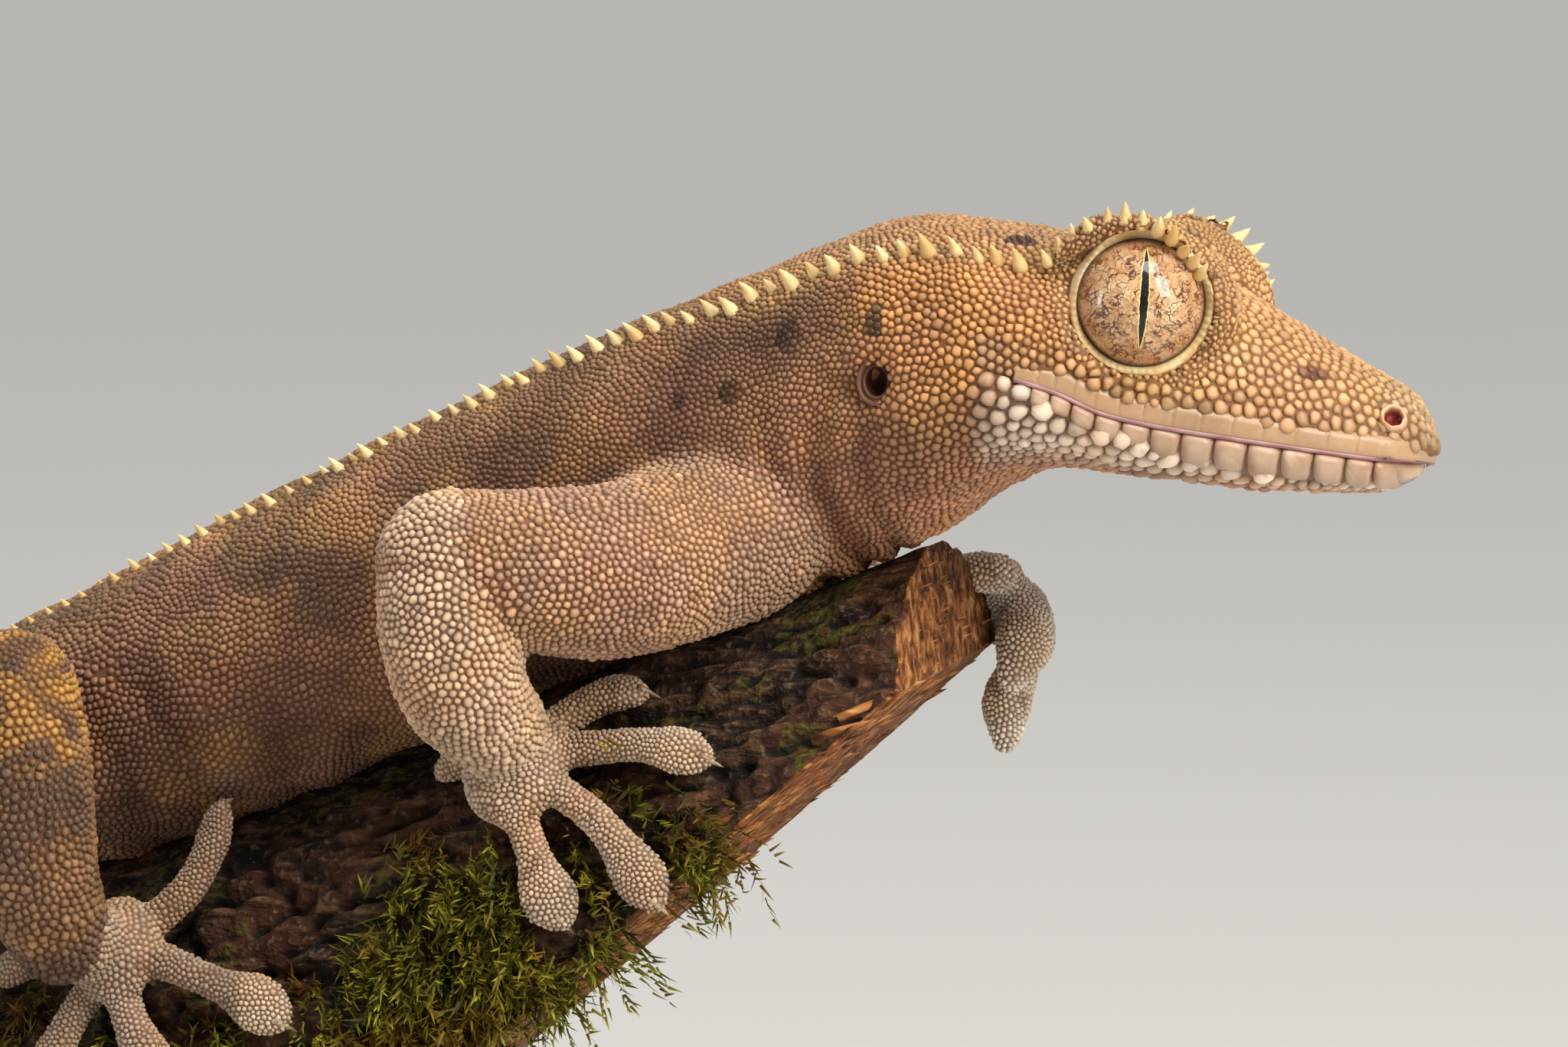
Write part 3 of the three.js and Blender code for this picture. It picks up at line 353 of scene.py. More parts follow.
# Limbs: joints of each length with the radius at each, and how the hand or foot lies on the branch
LIMBS = {
    "arm_right": {
        "upper": [(27, -5, 68), (22.3, -11, 66.7), (15.8, -14.4, 67.2)],
        "upper_radii": (4.4, 4.2, 3.6),
        "lower": [(15.8, -14.4, 67.2), (16, -15, 63.9), (16.5, -14.3, 61.2), (17.4, -12.6, 59.4)],
        "lower_radii": (3.6, 3.4, 3.1, 2.5),
        "palm": (1.4, 46, 1.7),
        "palm_size": (2.9, 3.3, 1.6),
        "toe_width": 0.98,
        "pads": (1.1, 1.3, 1.45, 1.5, 1.1),
        "toes": [
            [(2.2, 39, 0.3), (5.8, 33, 0.3), (8.1, 35, 0.3)],
            [(2, 43, 0.3), (7, 50, 0.3), (9.2, 55, 0.3), (11, 61, 0.3)],
            [(1.7, 47, 0.3), (4.7, 63, 0.3), (6, 77, 0.3), (6.5, 88, 0.3)],
            [(0.4, 47, 0.3), (1.3, 62, 0.3), (1.5, 74, 0.3), (1.8, 84, 0.3)],
            [(1, 42, 0.3), (-1.5, 36, 0.3), (-3.6, 33, 0.3)],
        ],
    },
    "arm_left": {
        "upper": mirrored([(27, -5, 68), (22.5, -11, 66.2), (19.5, -16.2, 64.2)]),
        "upper_radii": (4.4, 4.1, 3.3),
        "lower": mirrored([(19.5, -16.2, 64.2), (26, -16.2, 62.6), (31, -15, 62), (34, -13.4, 62.2)]),
        "lower_radii": (3.3, 3, 2.5, 2.1),
        "palm": (17.6, -52, 1.9),
        "palm_size": (2.9, 2.8, 1.7),
        "toe_width": 0.95,
        "pads": (1.4, 1.1),
        "toes": [
            [(16.5, -55, 0.3), (13.4, -61, 0.3), (10.4, -68, 0.3)],
            [(16.5, -50, 0.3), (12.6, -50, 0.3), (9.8, -52, 0.3)],
        ],
        "hooked": [
            ([(36, 10.5, 64.2), (36.9, 9.2, 64.7), (35.8, 8, 65), (34.2, 7.6, 64.9)], (1.2, 1.1, 1.1, 0.8)),
            ([(35.6, 11.5, 63.8), (37.6, 10.4, 63), (38, 8.6, 61.3), (37.6, 7.8, 60)], (1.4, 1.3, 1.55, 0.9)),
            ([(35.6, 12, 63), (37.3, 11, 60.6), (37.1, 8.8, 58.4), (37.2, 8, 56.6)], (1.3, 1, 1.3, 0.7)),
        ],
    },
    "leg_right": {
        "upper": [(-17, -4.5, 55), (-11.5, -10.5, 57.2), (-5.9, -15.6, 60.2)],
        "upper_radii": (4.6, 4.3, 3.5),
        "lower": [(-5.9, -15.6, 60.2), (-4.8, -16.6, 56), (-4.4, -16.2, 52), (-3.8, -14.6, 48.9)],
        "lower_radii": (3.5, 3.4, 3.1, 2.5),
        "palm": (-20.6, 52, 1.8),
        "palm_size": (2.4, 2.9, 1.5),
        "toe_width": 1.0,
        "pads": (1.2, 1.5, 1.4, 1.4, 1.2),
        "toes": [
            [(-20, 49, 0.3), (-16.8, 43, 0.6), (-14.9, 37, 1.7), (-13.6, 32, 3.2)],
            [(-20, 52, 0.3), (-16.2, 66, 0.3), (-14.4, 73, 0.3), (-13.1, 82, 0.3)],
            [(-21, 54, 0.3), (-20.6, 70, 0.3), (-20, 86, 0.3)],
            [(-21.5, 54, 0.3), (-24.5, 66, 0.3), (-26.5, 78, 0.3)],
            [(-22, 50, 0.3), (-25.6, 44, 0.3), (-28.4, 42, 0.3)],
        ],
    },
    "leg_left": {
        "upper": mirrored([(-17, -4.5, 55), (-14, -11, 55.6), (-11, -16.4, 55.4)]),
        "upper_radii": (4.6, 4.2, 3.4),
        "lower": mirrored([(-11, -16.4, 55.4), (-12.6, -16.6, 51.4), (-14, -15.8, 47.6), (-14.4, -14.4, 44.6)]),
        "lower_radii": (3.4, 3.2, 2.9, 2.4),
        "palm": (-31.4, -52, 1.8),
        "palm_size": (2.4, 2.9, 1.5),
        "toe_width": 1.0,
        "pads": (1.2, 1.5, 1.4, 1.4, 1.2),
        "toes": [
            [(-31, -49, 0.3), (-28, -42, 0.3), (-25.2, -40, 0.3)],
            [(-31, -53, 0.3), (-26.6, -62, 0.3), (-23.6, -72, 0.3)],
            [(-31.4, -54, 0.3), (-30, -70, 0.3), (-29, -86, 0.3)],
            [(-32, -54, 0.3), (-34.6, -66, 0.3), (-36.5, -78, 0.3)],
            [(-32.6, -50, 0.3), (-36, -44, 0.3), (-39, -42, 0.3)],
        ],
    },
}
TAIL_START = tuple(body_point(VENT - 3, 0, -0.6))
TAIL = [
    TAIL_START, tuple(body_point(VENT + 0.15, 0, -0.6)), (-34, 0, 46.2), (-46, 1, 41.5), (-60, 4, 36.5),
    (-74, 6, 34), (-86, 3, 36), (-93, -3, 40),
]
TAIL_RADII = (3.9, 3.75, 3.1, 2.75, 2.35, 1.9, 1.35, 0.75)
BROW = [
    (18.5, 7.2, 4.7), (17.3, 7.5, 6.2), (15.6, 7.6, 7.2), (13.8, 7.6, 7.3), (12.3, 7.3, 6.5),
    (11.4, 6.7, 5.4), (10.9, 6, 4.3),
]

work = {}  # what one operator leaves for the next, such as the skin's surface


def ripple(points, size, seed, count=9):
    """Smooth noise from -1 to 1 or so, with lumps about size across."""
    rng = np.random.default_rng(seed)
    ways = unit(rng.normal(size=(count, 3))) * (2 * np.pi / size * rng.uniform(0.45, 1.1, (count, 1)))
    phases = rng.uniform(0, 2 * np.pi, count)
    return np.sin(np.asarray(points) @ ways.T + phases).sum(1) * math.sqrt(2 / count) * 0.7


def linear(red, green, blue):
    """A display colour of 0 to 255 as linear light."""
    c = np.array([red, green, blue]) / 255
    return np.where(c < 0.04045, c / 12.92, ((c + 0.055) / 1.055) ** 2.4)


def grid_shape(bm, rings, closed_ends=True):
    """A bmesh grid laid over rows of points, with a round row joined to itself and its ends capped."""
    rings = np.asarray(rings, float)
    rows, columns = rings.shape[:2]
    made = bmesh.ops.create_grid(bm, x_segments=columns - 1, y_segments=rows - 1, size=1)
    for vert, point in zip(made["verts"], rings.reshape(-1, 3)):
        vert.co = point
    bmesh.ops.remove_doubles(bm, verts=made["verts"], dist=1e-4)
    if closed_ends:
        bmesh.ops.holes_fill(bm, edges=[e for e in bm.edges if e.is_boundary], sides=0)


def ball_shape(bm, place, size, detail=24):
    """A bmesh ball whose unit directions are handed to place."""
    made = bmesh.ops.create_uvsphere(bm, u_segments=detail, v_segments=detail // 2, radius=1)
    directions = np.array([v.co[:] for v in made["verts"]])
    for vert, point in zip(made["verts"], place(directions * np.array(size))):
        vert.co = point


def rows_of(items, key, width, kind=float):
    """One property of each of a mesh's items, as rows of numbers."""
    values = np.empty(len(items) * width, kind)
    items.foreach_get(key, values)
    return values.reshape(-1, width)


def mesh_arrays(mesh):
    """A mesh's points and its triangles as arrays."""
    mesh.calc_loop_triangles()
    return rows_of(mesh.vertices, "co", 3), rows_of(mesh.loop_triangles, "vertices", 3, np.int64)


def write_values(mesh, values):
    """Numbers or colours by point, as attributes of a mesh."""
    for key, value in values.items():
        if value.ndim == 1:
            mesh.attributes.new(key, "FLOAT", "POINT").data.foreach_set("value", value.astype(np.float32))
        else:
            colours = np.concatenate([value, np.ones((len(value), 1))], 1).astype(np.float32)
            mesh.attributes.new(key, "FLOAT_COLOR", "POINT").data.foreach_set("color", colours.ravel())


def summed(places, rows, count):
    """Adds up the rows of numbers that belong to each of count places."""
    return np.stack([np.bincount(places, rows[:, k], count) for k in range(3)], 1)


def point_normals(points, triangles):
    """Smooth normals of a mesh."""
    a, b, c = (points[triangles[:, i]] for i in range(3))
    faces = np.cross(b - a, c - a)
    normals = np.zeros_like(points)
    for axis in range(3):
        for corner in range(3):
            normals[:, axis] += np.bincount(triangles[:, corner], faces[:, axis], len(points))
    return unit(normals)


def joined_mesh(name, points, triangles, uvs=None, values=None):
    """A mesh of loose triangles' arrays, with a bake map by corner and values by point."""
    mesh = bpy.data.meshes.new(name)
    mesh.vertices.add(len(points))
    mesh.vertices.foreach_set("co", np.asarray(points, np.float32).ravel())
    mesh.loops.add(len(triangles) * 3)
    mesh.loops.foreach_set("vertex_index", np.asarray(triangles, np.int32).ravel())
    mesh.polygons.add(len(triangles))
    mesh.polygons.foreach_set("loop_start", np.arange(len(triangles), dtype=np.int32) * 3)
    mesh.update(calc_edges=True)
    if uvs is not None:
        layer = mesh.uv_layers.new(name="OFBake")
        layer.data.foreach_set("uv", np.asarray(uvs[np.asarray(triangles).ravel()], np.float32).ravel())
    write_values(mesh, values or {})
    return mesh


def placed(name, mesh, material, replaces=()):
    """Hands a finished mesh, made in millimetres, to the frame as a piece of the object."""
    mesh.transform(((MM, 0, 0, 0), (0, MM, 0, 0), (0, 0, MM, 0), (0, 0, 0, 1)))
    mesh.polygons.foreach_set("use_smooth", np.ones(len(mesh.polygons), bool))
    mesh.materials.clear()
    mesh.materials.append(material)
    mesh.update()
    piece = bpy.data.objects.new(name, mesh)
    bpy.context.scene.collection.objects.link(piece)
    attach(piece, BODY)
    if replaces:
        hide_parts(*replaces)
    return piece


def from_bmesh(name, bm):
    bmesh.ops.recalc_face_normals(bm, faces=bm.faces)
    mesh = bpy.data.meshes.new(name)
    bm.to_mesh(mesh)
    bm.free()
    return mesh


def pattern_of(bm):
    """The points and triangles of a small shape that is set many times."""
    mesh = from_bmesh("pattern", bm)
    pattern = mesh_arrays(mesh)
    bpy.data.meshes.remove(mesh)
    return pattern


# Where a point of the skin belongs


def flesh_samples():
    """Points down the middle of every limb, toe and tail, with radius, kind, share and way along it."""
    rows = []

    def add(kind, points, radii, rings=24):
        path = Path(points)
        t = np.linspace(0, 1, rings)
        radius = profile([(i / (len(radii) - 1), r) for i, r in enumerate(radii)])(t)
        rows.append(np.column_stack([path.at(t), radius, np.full(rings, kind), t, path.way(t)]))

    for limb in LIMBS.values():
        add(1, limb["upper"], limb["upper_radii"])
        add(2, limb["lower"], limb["lower_radii"])
        along, around, lift = limb["palm"]
        heel = on_branch(along, around, lift * 0.7)
        add(3, [tuple(limb["lower"][-1]), tuple(heel)], (2.4, 2.4), 8)
        for toe in limb["toes"]:
            line = Path(toe).at(np.linspace(0, 1, 9))
            middle = on_branch(line[:, 0], line[:, 1], line[:, 2] + limb["toe_width"] * 0.8)
            add(4, [tuple(p) for p in middle], (limb["toe_width"],) * 2 + (limb["toe_width"] * 1.2,), 16)
        for points, radii in limb.get("hooked", ()):
            add(4, points, radii, 16)
    add(5, TAIL, TAIL_RADII, 60)
    return np.vstack(rows)


def nearest_limb(points):
    """Which sample of a limb each point is nearest to, and how far it is off the limb's surface."""
    samples = work.setdefault("samples", flesh_samples())
    best = np.empty(len(points), np.int64)
    reach = np.empty(len(points))
    for start in range(0, len(points), 8000):
        part = points[start:start + 8000]
        away = np.linalg.norm(part[:, None] - samples[None, :, :3], axis=2) - samples[:, 3]
        best[start:start + 8000] = away.argmin(1)
        reach[start:start + 8000] = away.min(1)
    return samples[best], reach


def place_in_body(points):
    """What part of the animal each point is on, how far along it, and which way its scales lie."""
    points = np.asarray(points, float)
    near, reach = nearest_limb(points)
    s, v, h = body_place(points)
    level, height, fullness = section(s, h >= body_level(s))
    share = (np.abs(v / body_width(s)) ** fullness + np.abs((h - level) / height) ** fullness) ** (1 / fullness)
    trunk = (share - 1) * (body_width(s) + height) / 2
    trunk = np.where(s > VENT, 9, trunk)
    limb = smoothstep(trunk - reach, -0.9, 0.9)
    limb = np.where((s < 22) & (points[:, 2] > 66.5), 0, limb)
    angle = spine_angle(s)
    back = np.stack([-np.cos(angle), 0 * angle, -np.sin(angle)], 1)
    lie = back * (1 - limb[:, None]) + near[:, 6:9] * limb[:, None]
    return {
        "s": s, "v": v, "h": h, "limb": limb, "kind": near[:, 4], "t": near[:, 5], "lie": lie,
        "points": points, "near": near[:, 1] - points[:, 1],
    }


def eye_centre(side):
    return body_point(EYE["s"], side * EYE["v"], EYE["h"])


def eye_axis(side):
    """Which way an eye looks: out, a little forward and a little up."""
    return unit(np.array([0.2574, side * 0.9606, 0.1045]))


def eye_distance(points):
    """How far each point is from the middle of the nearer eye, across the way that it looks."""
    distances = []
    for side in (-1, 1):
        gap = points - eye_centre(side)
        depth = gap @ eye_axis(side)
        across = np.linalg.norm(gap - depth[:, None] * eye_axis(side), axis=1)
        distances.append(np.where(depth > -2.2, across, 99))
    return np.minimum(*distances)


def in_branch(points, margin=0.4):
    """Whether a point is buried in the branch."""
    gap = points - BRANCH_START
    along, up, near = gap @ BRANCH_AXIS, gap @ BRANCH_UP, gap[:, 1]
    reach = np.hypot(up / (BRANCH["half_height"] - margin), near / (BRANCH["half_width"] - margin))
    inside = (reach < 1) & (along > BRANCH["rear"]) & (along < BRANCH["front"])
    for place, normal in BREAKS:
        inside &= (points - place) @ -normal > margin
    return inside


def lip_band(info):
    """How far a point is above the mouth line, where there is a mouth."""
    return np.where((info["s"] < 20.5) & (info["limb"] < 0.5), info["h"] - mouth_height(info["s"]), 99)


# Colours of the animal, as displayed. The cheek, throat, neck, flank, back, belly, hind legs and tail are
# partly painted shade: darker than their own colour, as they look where the light falls off.
TONES = {
    "crown": (170, 130, 80), "temple": (194, 134, 66), "snout": (196, 150, 92), "nose": (194, 160, 112),
    "lip": (164, 128, 90), "jaw": (226, 202, 178), "cheek": (128, 88, 62), "throat": (168, 114, 76),
    "neck": (132, 92, 66), "flank": (92, 64, 46), "back": (122, 90, 56), "belly": (110, 82, 60),
    "arm": (174, 138, 108), "forearm": (196, 164, 132), "hand": (190, 168, 142), "far_hand": (220, 208, 190),
    "leg": (90, 67, 49), "knee": (170, 122, 42), "tail": (106, 77, 52), "spot": (18, 9, 6),
    "orbit": (186, 144, 90), "pad": (176, 166, 108),
}
DARK_SPOTS = [  # places of dark spots: s, h on the right side, and radius
    (29.6, 1.9, 0.9), (20.2, 6.0, 0.8), (18.3, 6.7, 0.65), (25.6, 1.9, 0.8), (33, 0.5, 0.55), (35.6, 0.8, 0.6),
    (11.3, 6.9, 0.6), (5.9, 2.5, 0.5),
]


def blend(colours, tone, share):
    share = np.clip(np.asarray(share, float), 0, 1)[:, None]
    return colours * (1 - share) + linear(*TONES[tone]) * share


def share_up(s, h):
    return (h - body_level(s)) / np.maximum(body_top(s) - body_level(s), 0.1)


def coat_colours(info):
    """The coat's colour at each point, the same for the skin and the scales on it."""
    s, h, kind, t, points = info["s"], info["h"], info["kind"], info["t"], info["points"]
    limb = info["limb"]
    up = share_up(s, h)
    down = -(h - body_level(s)) / np.maximum(body_bottom(s) + body_level(s), 0.1)
    mottle = ripple(points, 4.2, 3)
    fine = ripple(points, 1.6, 4)
    head = smoothstep(s, 29, 24)
    band = lip_band(info)
    front = points[:, 0] > 5
    arm, lower = limb * (kind == 1), limb * (kind == 2)
    bend = np.where(kind == 1, smoothstep(t, 0.62, 0.95), smoothstep(t, 0.4, 0.1)) * (arm + lower) * ~front
    tips = limb * (kind >= 3) * (kind < 5)
    far = front * (points[:, 1] > 0)
    pads = tips * (kind == 4) * smoothstep(t, 0.5, 0.6) * smoothstep(t, 0.84, 0.76)
    colours = np.tile(linear(*TONES["flank"]), (len(s), 1))
    for name, share in (
        ("back", smoothstep(up + 0.15 * mottle, 0.35, 0.8)),
        ("belly", smoothstep(down, 0.45, 0.9)),
        ("neck", smoothstep(s, 40, 32) * smoothstep(up, 0.6, 0.1)),
        ("temple", head * smoothstep(up, -0.5, 0.1)),
        ("cheek", head * smoothstep(up, 0.05, -0.45)),
        ("crown", smoothstep(s, 34, 28) * smoothstep(up, 0.66, 0.8)),
        ("snout", smoothstep(s, 13.5, 10.5)),
        ("nose", smoothstep(s, 4.5, 1.0) * 0.8),
        ("orbit", smoothstep(eye_distance(points), 4.6, 3.6) * (s < 20) * (s > 8)),
        ("throat", head * smoothstep(down, 0.62, 0.9)),
        ("throat", smoothstep(s, 44, 36) * smoothstep(s, 24, 30) * smoothstep(down, 0.5, 0.85) * 0.7),
        ("jaw", (band < 0) * smoothstep(down, 0.95, 0.6) * smoothstep(s, 21, 18)),
        ("lip", (np.abs(band) < 3) * smoothstep(band, 2.3, 1.2) * (band > 0) * 0.8),
        ("arm", arm * front),
        ("leg", arm * ~front),
        ("forearm", lower * front),
        ("leg", lower * ~front),
        ("knee", bend * smoothstep(fine + 0.6 * mottle, -0.5, 0.7) * 0.85),
        ("hand", tips),
        ("far_hand", tips * far),
        ("pad", pads * far * smoothstep(info["near"], 0.3, 0.8) * 0.4),
        ("leg", tips * ~front * 0.45),
        ("tail", limb * (kind == 5)),
    ):
        colours = blend(colours, name, share)
    colours = colours * (1 + 0.10 * mottle + 0.07 * fine)[:, None]
    for spot_s, spot_h, radius in DARK_SPOTS:
        away = np.linalg.norm(points - head_place(-1, spot_s, spot_h), axis=1) + 0.16 * fine
        colours = blend(colours, "spot", smoothstep(away, radius, radius * 0.8))
    return np.clip(colours, 0, 1)


def coat_attribute_of(mesh):
    """Gives a mesh's points the coat's colour where each of them is."""
    write_values(mesh, {"coat": coat_colours(place_in_body(mesh_arrays(mesh)[0]))})


def scale_size(info):
    """How far apart the scales are at each point."""
    s, h, kind, limb = info["s"], info["h"], info["kind"], info["limb"]
    up = share_up(s, h)
    size = profile([
        (0, 0.44), (3, 0.54), (8, 0.60), (12, 0.50), (17, 0.44), (24, 0.43), (29, 0.35), (40, 0.36), (60, 0.41),
        (90, 0.45),
    ])(s)
    size = size + 0.04 * smoothstep(s, 16, 20) * smoothstep(s, 26, 22) * smoothstep(up, 0.6, 0.2)
    around = smoothstep(eye_distance(info["points"]), 5.0, 4.0) * (s < 20) * (s > 8)
    size = size + (0.32 - size) * around
    band = lip_band(info)
    corner = smoothstep(s, 5, 12) * smoothstep(s, 24.2, 17.5)
    size = np.where(band < 0, size + corner * smoothstep(band, -4.6, -1.2) * 0.42, size)
    size = np.where((band > 0) & (band < 1.9) & (s < 17), np.maximum(size, 0.6), size)
    limb_size = np.select([kind == 1, kind == 2, kind == 3, kind == 4], [0.41, 0.46, 0.34, 0.29], 0.44)
    return size * (1 - limb) + limb_size * limb


# The skin


def skin_shapes():
    """Every length of flesh as closed shapes that run into each other."""
    bm = bmesh.new()
    inset = SKIN_INSET
    nose = NOSE_ROUNDING * (1 - np.cos(np.radians(np.linspace(4, 90, 9))))
    s = np.concatenate([nose, np.arange(2.6, VENT, 0.6)])
    turn = np.linspace(0, 360, 97)
    rings = skin_point(s[:, None], turn[None, :], -inset)
    grid_shape(bm, rings)
    for side in (-1, 1):
        def mound(p, side=side):
            return body_point(EYE["s"] - p[:, 0], side * 4.7 + p[:, 1], EYE["h"] + p[:, 2])
        ball_shape(bm, mound, (4.7 - inset, 3.7 - inset, 3.9 - inset), 40)
        brow = [tuple(body_point(a, side * b, c + 0.22)) for a, b, c in BROW]
        grid_shape(bm, swept(brow, (0.25, 0.48, 0.55, 0.52, 0.45, 0.32, 0.2), 12, 30))
    for limb in LIMBS.values():
        for part in ("upper", "lower"):
            grid_shape(bm, swept(limb[part], limb[part + "_radii"], 28, 26, grow=-inset))
        along, around, lift = limb["palm"]

        def palm(p, at=(along, around, lift)):
            return on_branch(at[0] + p[:, 0], at[1] + p[:, 1] / ARC, at[2] + p[:, 2])
        ball_shape(bm, palm, np.array(limb["palm_size"]) - inset, 28)
        heel = on_branch(along, around, lift * 0.8)
        wrist = [limb["lower"][-1], tuple(heel)]
        grid_shape(bm, swept(wrist, (limb["lower_radii"][-1], 1.7), 20, 12, grow=-inset))
        for toe, pad in zip(limb["toes"], limb["pads"]):
            grid_shape(bm, draped_toe(toe, limb["toe_width"], pad, grow=-inset * 0.6))
        for points, radii in limb.get("hooked", ()):
            grid_shape(bm, swept(points, radii, 18, 20, grow=-inset * 0.6))
    grid_shape(bm, swept(TAIL, TAIL_RADII, 30, 150, grow=-inset))
    return bm


def to_neighbours(points, edges):
    """The way from each point to the middle of its neighbours."""
    total = summed(edges[:, 0], points[edges[:, 1]], len(points))
    total += summed(edges[:, 1], points[edges[:, 0]], len(points))
    return total / np.maximum(np.bincount(edges.ravel(), minlength=len(points)), 1)[:, None] - points


def folds(points, info):
    """How far each point of the skin is raised or sunk: folds, pits and the mouth's groove."""
    s, h, limb = info["s"], info["h"], info["limb"]
    level = body_level(s)
    lift = 0.06 * ripple(points, 3.5, 11) * (1 - 0.5 * limb)
    band = lip_band(info)
    lift -= 0.4 * np.exp(-(band / 0.3) ** 2) * smoothstep(s, 20.6, 18.5) * (1 - limb)
    # Loose skin of the neck and flank hangs in folds that run up and down
    loose = smoothstep(s, 24, 28) * smoothstep(s, 44, 36) * smoothstep(h, level + 3, level - 2) * (1 - limb)
    lean = s + 0.25 * h + 0.5 * ripple(points, 6, 12)
    lift += loose * 0.22 * np.sin(lean * 2 * np.pi / 2.9)
    flank = smoothstep(s, 44, 50) * smoothstep(s, 86, 76) * smoothstep(h, level + 4, level) * (1 - limb)
    lift += flank * 0.14 * np.sin((s + 0.4 * ripple(points, 7, 13) * 3) * 2 * np.pi / 4.4)
    # Creases ring the eye in front and below
    away = eye_distance(points)
    ring = smoothstep(away, 3.2, 3.6) * smoothstep(away, 5.3, 4.2) * (s > 7) * (s < 19.5)
    lift += ring * 0.10 * np.sin((away - 3.3) * 2 * np.pi / 0.46)
    for side in (-1, 1):
        ear = head_place(side, **EAR)
        ear_s, ear_h = s - EAR["s"], h - EAR["h"]
        near = np.linalg.norm(points - ear, axis=1) < 5
        hollow = np.exp(-((ear_s - 0.9) / 1.5) ** 2 - ((ear_h + 0.25) / 0.8) ** 2)
        lift -= near * (0.6 * hollow + 1.1 * np.exp(-(ear_s / 0.62) ** 2 - (ear_h / 0.8) ** 2))
        away = np.linalg.norm(points - head_place(side, **NOSTRIL), axis=1)
        lift -= 0.95 * np.exp(-(away / 0.6) ** 2)
    return lift


def open_eyes(points):
    """Draws the skin back behind each ball, so that the eye shows in a round opening."""
    for side in (-1, 1):
        out = eye_axis(side)
        gap = points - eye_centre(side)
        depth = gap @ out
        reach = np.linalg.norm(gap - depth[:, None] * out, axis=1)
        ball = np.sqrt(np.maximum(EYE["radius"] ** 2 - reach ** 2, 0))
        pull = smoothstep(reach, 3.42, 3.1) * (depth > 0)
        points = points - (np.maximum(depth - ball + 0.12, 0) * pull)[:, None] * out
    return points


def build_skin(voxel):
    """Fuses the flesh into one surface, smooths it where limbs join and folds it."""
    rough = bpy.data.objects.new("flesh", from_bmesh("flesh", skin_shapes()))
    bpy.context.scene.collection.objects.link(rough)
    fuse = rough.modifiers.new("fuse", "REMESH")
    fuse.mode = "VOXEL"
    fuse.voxel_size = voxel
    fused = bpy.data.meshes.new_from_object(rough.evaluated_get(bpy.context.evaluated_depsgraph_get()))
    bpy.data.objects.remove(rough)
    points, triangles = mesh_arrays(fused)
    edges = rows_of(fused.edges, "vertices", 2, np.int64)
    # Each round of smoothing is followed by one that gives the volume back
    for share in (0.5, -0.52) * 3:
        points = points + to_neighbours(points, edges) * share
    roots = np.array([limb["upper"][0] for limb in LIMBS.values()] + [body_point(VENT, 0, -0.6)], float)
    nearest = np.linalg.norm(points[:, None] - roots[None], axis=2).min(1)
    weight = (smoothstep(nearest, 9, 5) * smoothstep(points[:, 0], 34, 30))[:, None] * 0.5
    for _ in range(30):
        points = points + to_neighbours(points, edges) * weight
    lift = folds(points, place_in_body(points))
    points = open_eyes(points + point_normals(points, triangles) * lift[:, None])
    fused.vertices.foreach_set("co", points.astype(np.float32).ravel())
    fused.update()
    return fused


def near_pairs(points, reach):
    """Every pair of points closer than reach, found in a grid of cells."""
    cell = np.floor(points / reach).astype(np.int64)
    cell -= cell.min(0) - 1
    size = cell.max(0) + 3
    key = (cell[:, 0] * size[1] + cell[:, 1]) * size[2] + cell[:, 2]
    order = np.argsort(key, kind="stable")
    unique, first, count = np.unique(key[order], return_index=True, return_counts=True)
    steps = [(x, y, z) for x in (-1, 0, 1) for y in (-1, 0, 1) for z in (-1, 0, 1) if (x, y, z) >= (0, 0, 0)]
    left, right = [], []
    for x, y, z in steps:
        wanted = unique + (x * size[1] + y) * size[2] + z
        found = np.searchsorted(unique, wanted)
        found = np.minimum(found, len(unique) - 1)
        a = np.flatnonzero(unique[found] == wanted)
        b = found[a]
        number = count[a] * count[b]
        cells = np.repeat(np.arange(len(a)), number)
        inner = np.arange(number.sum()) - np.repeat(np.cumsum(number) - number, number)
        i = first[a][cells] + inner // count[b][cells]
        j = first[b][cells] + inner % count[b][cells]
        if (x, y, z) == (0, 0, 0):
            keep = i < j
            i, j = i[keep], j[keep]
        i, j = order[i], order[j]
        keep = ((points[i] - points[j]) ** 2).sum(1) < reach * reach
        left.append(i[keep])
        right.append(j[keep])
    return np.concatenate(left), np.concatenate(right)


def settle(tree, points, flat_normals):
    """Puts points back on the surface of a BVH tree; returns them with the face under each."""
    faces = np.empty(len(points), np.int64)
    placed_points = np.empty_like(points)
    for i, point in enumerate(points.tolist()):
        where, _, face, _ = tree.find_nearest(point)
        placed_points[i] = where
        faces[i] = face
    return placed_points, faces, flat_normals[faces]


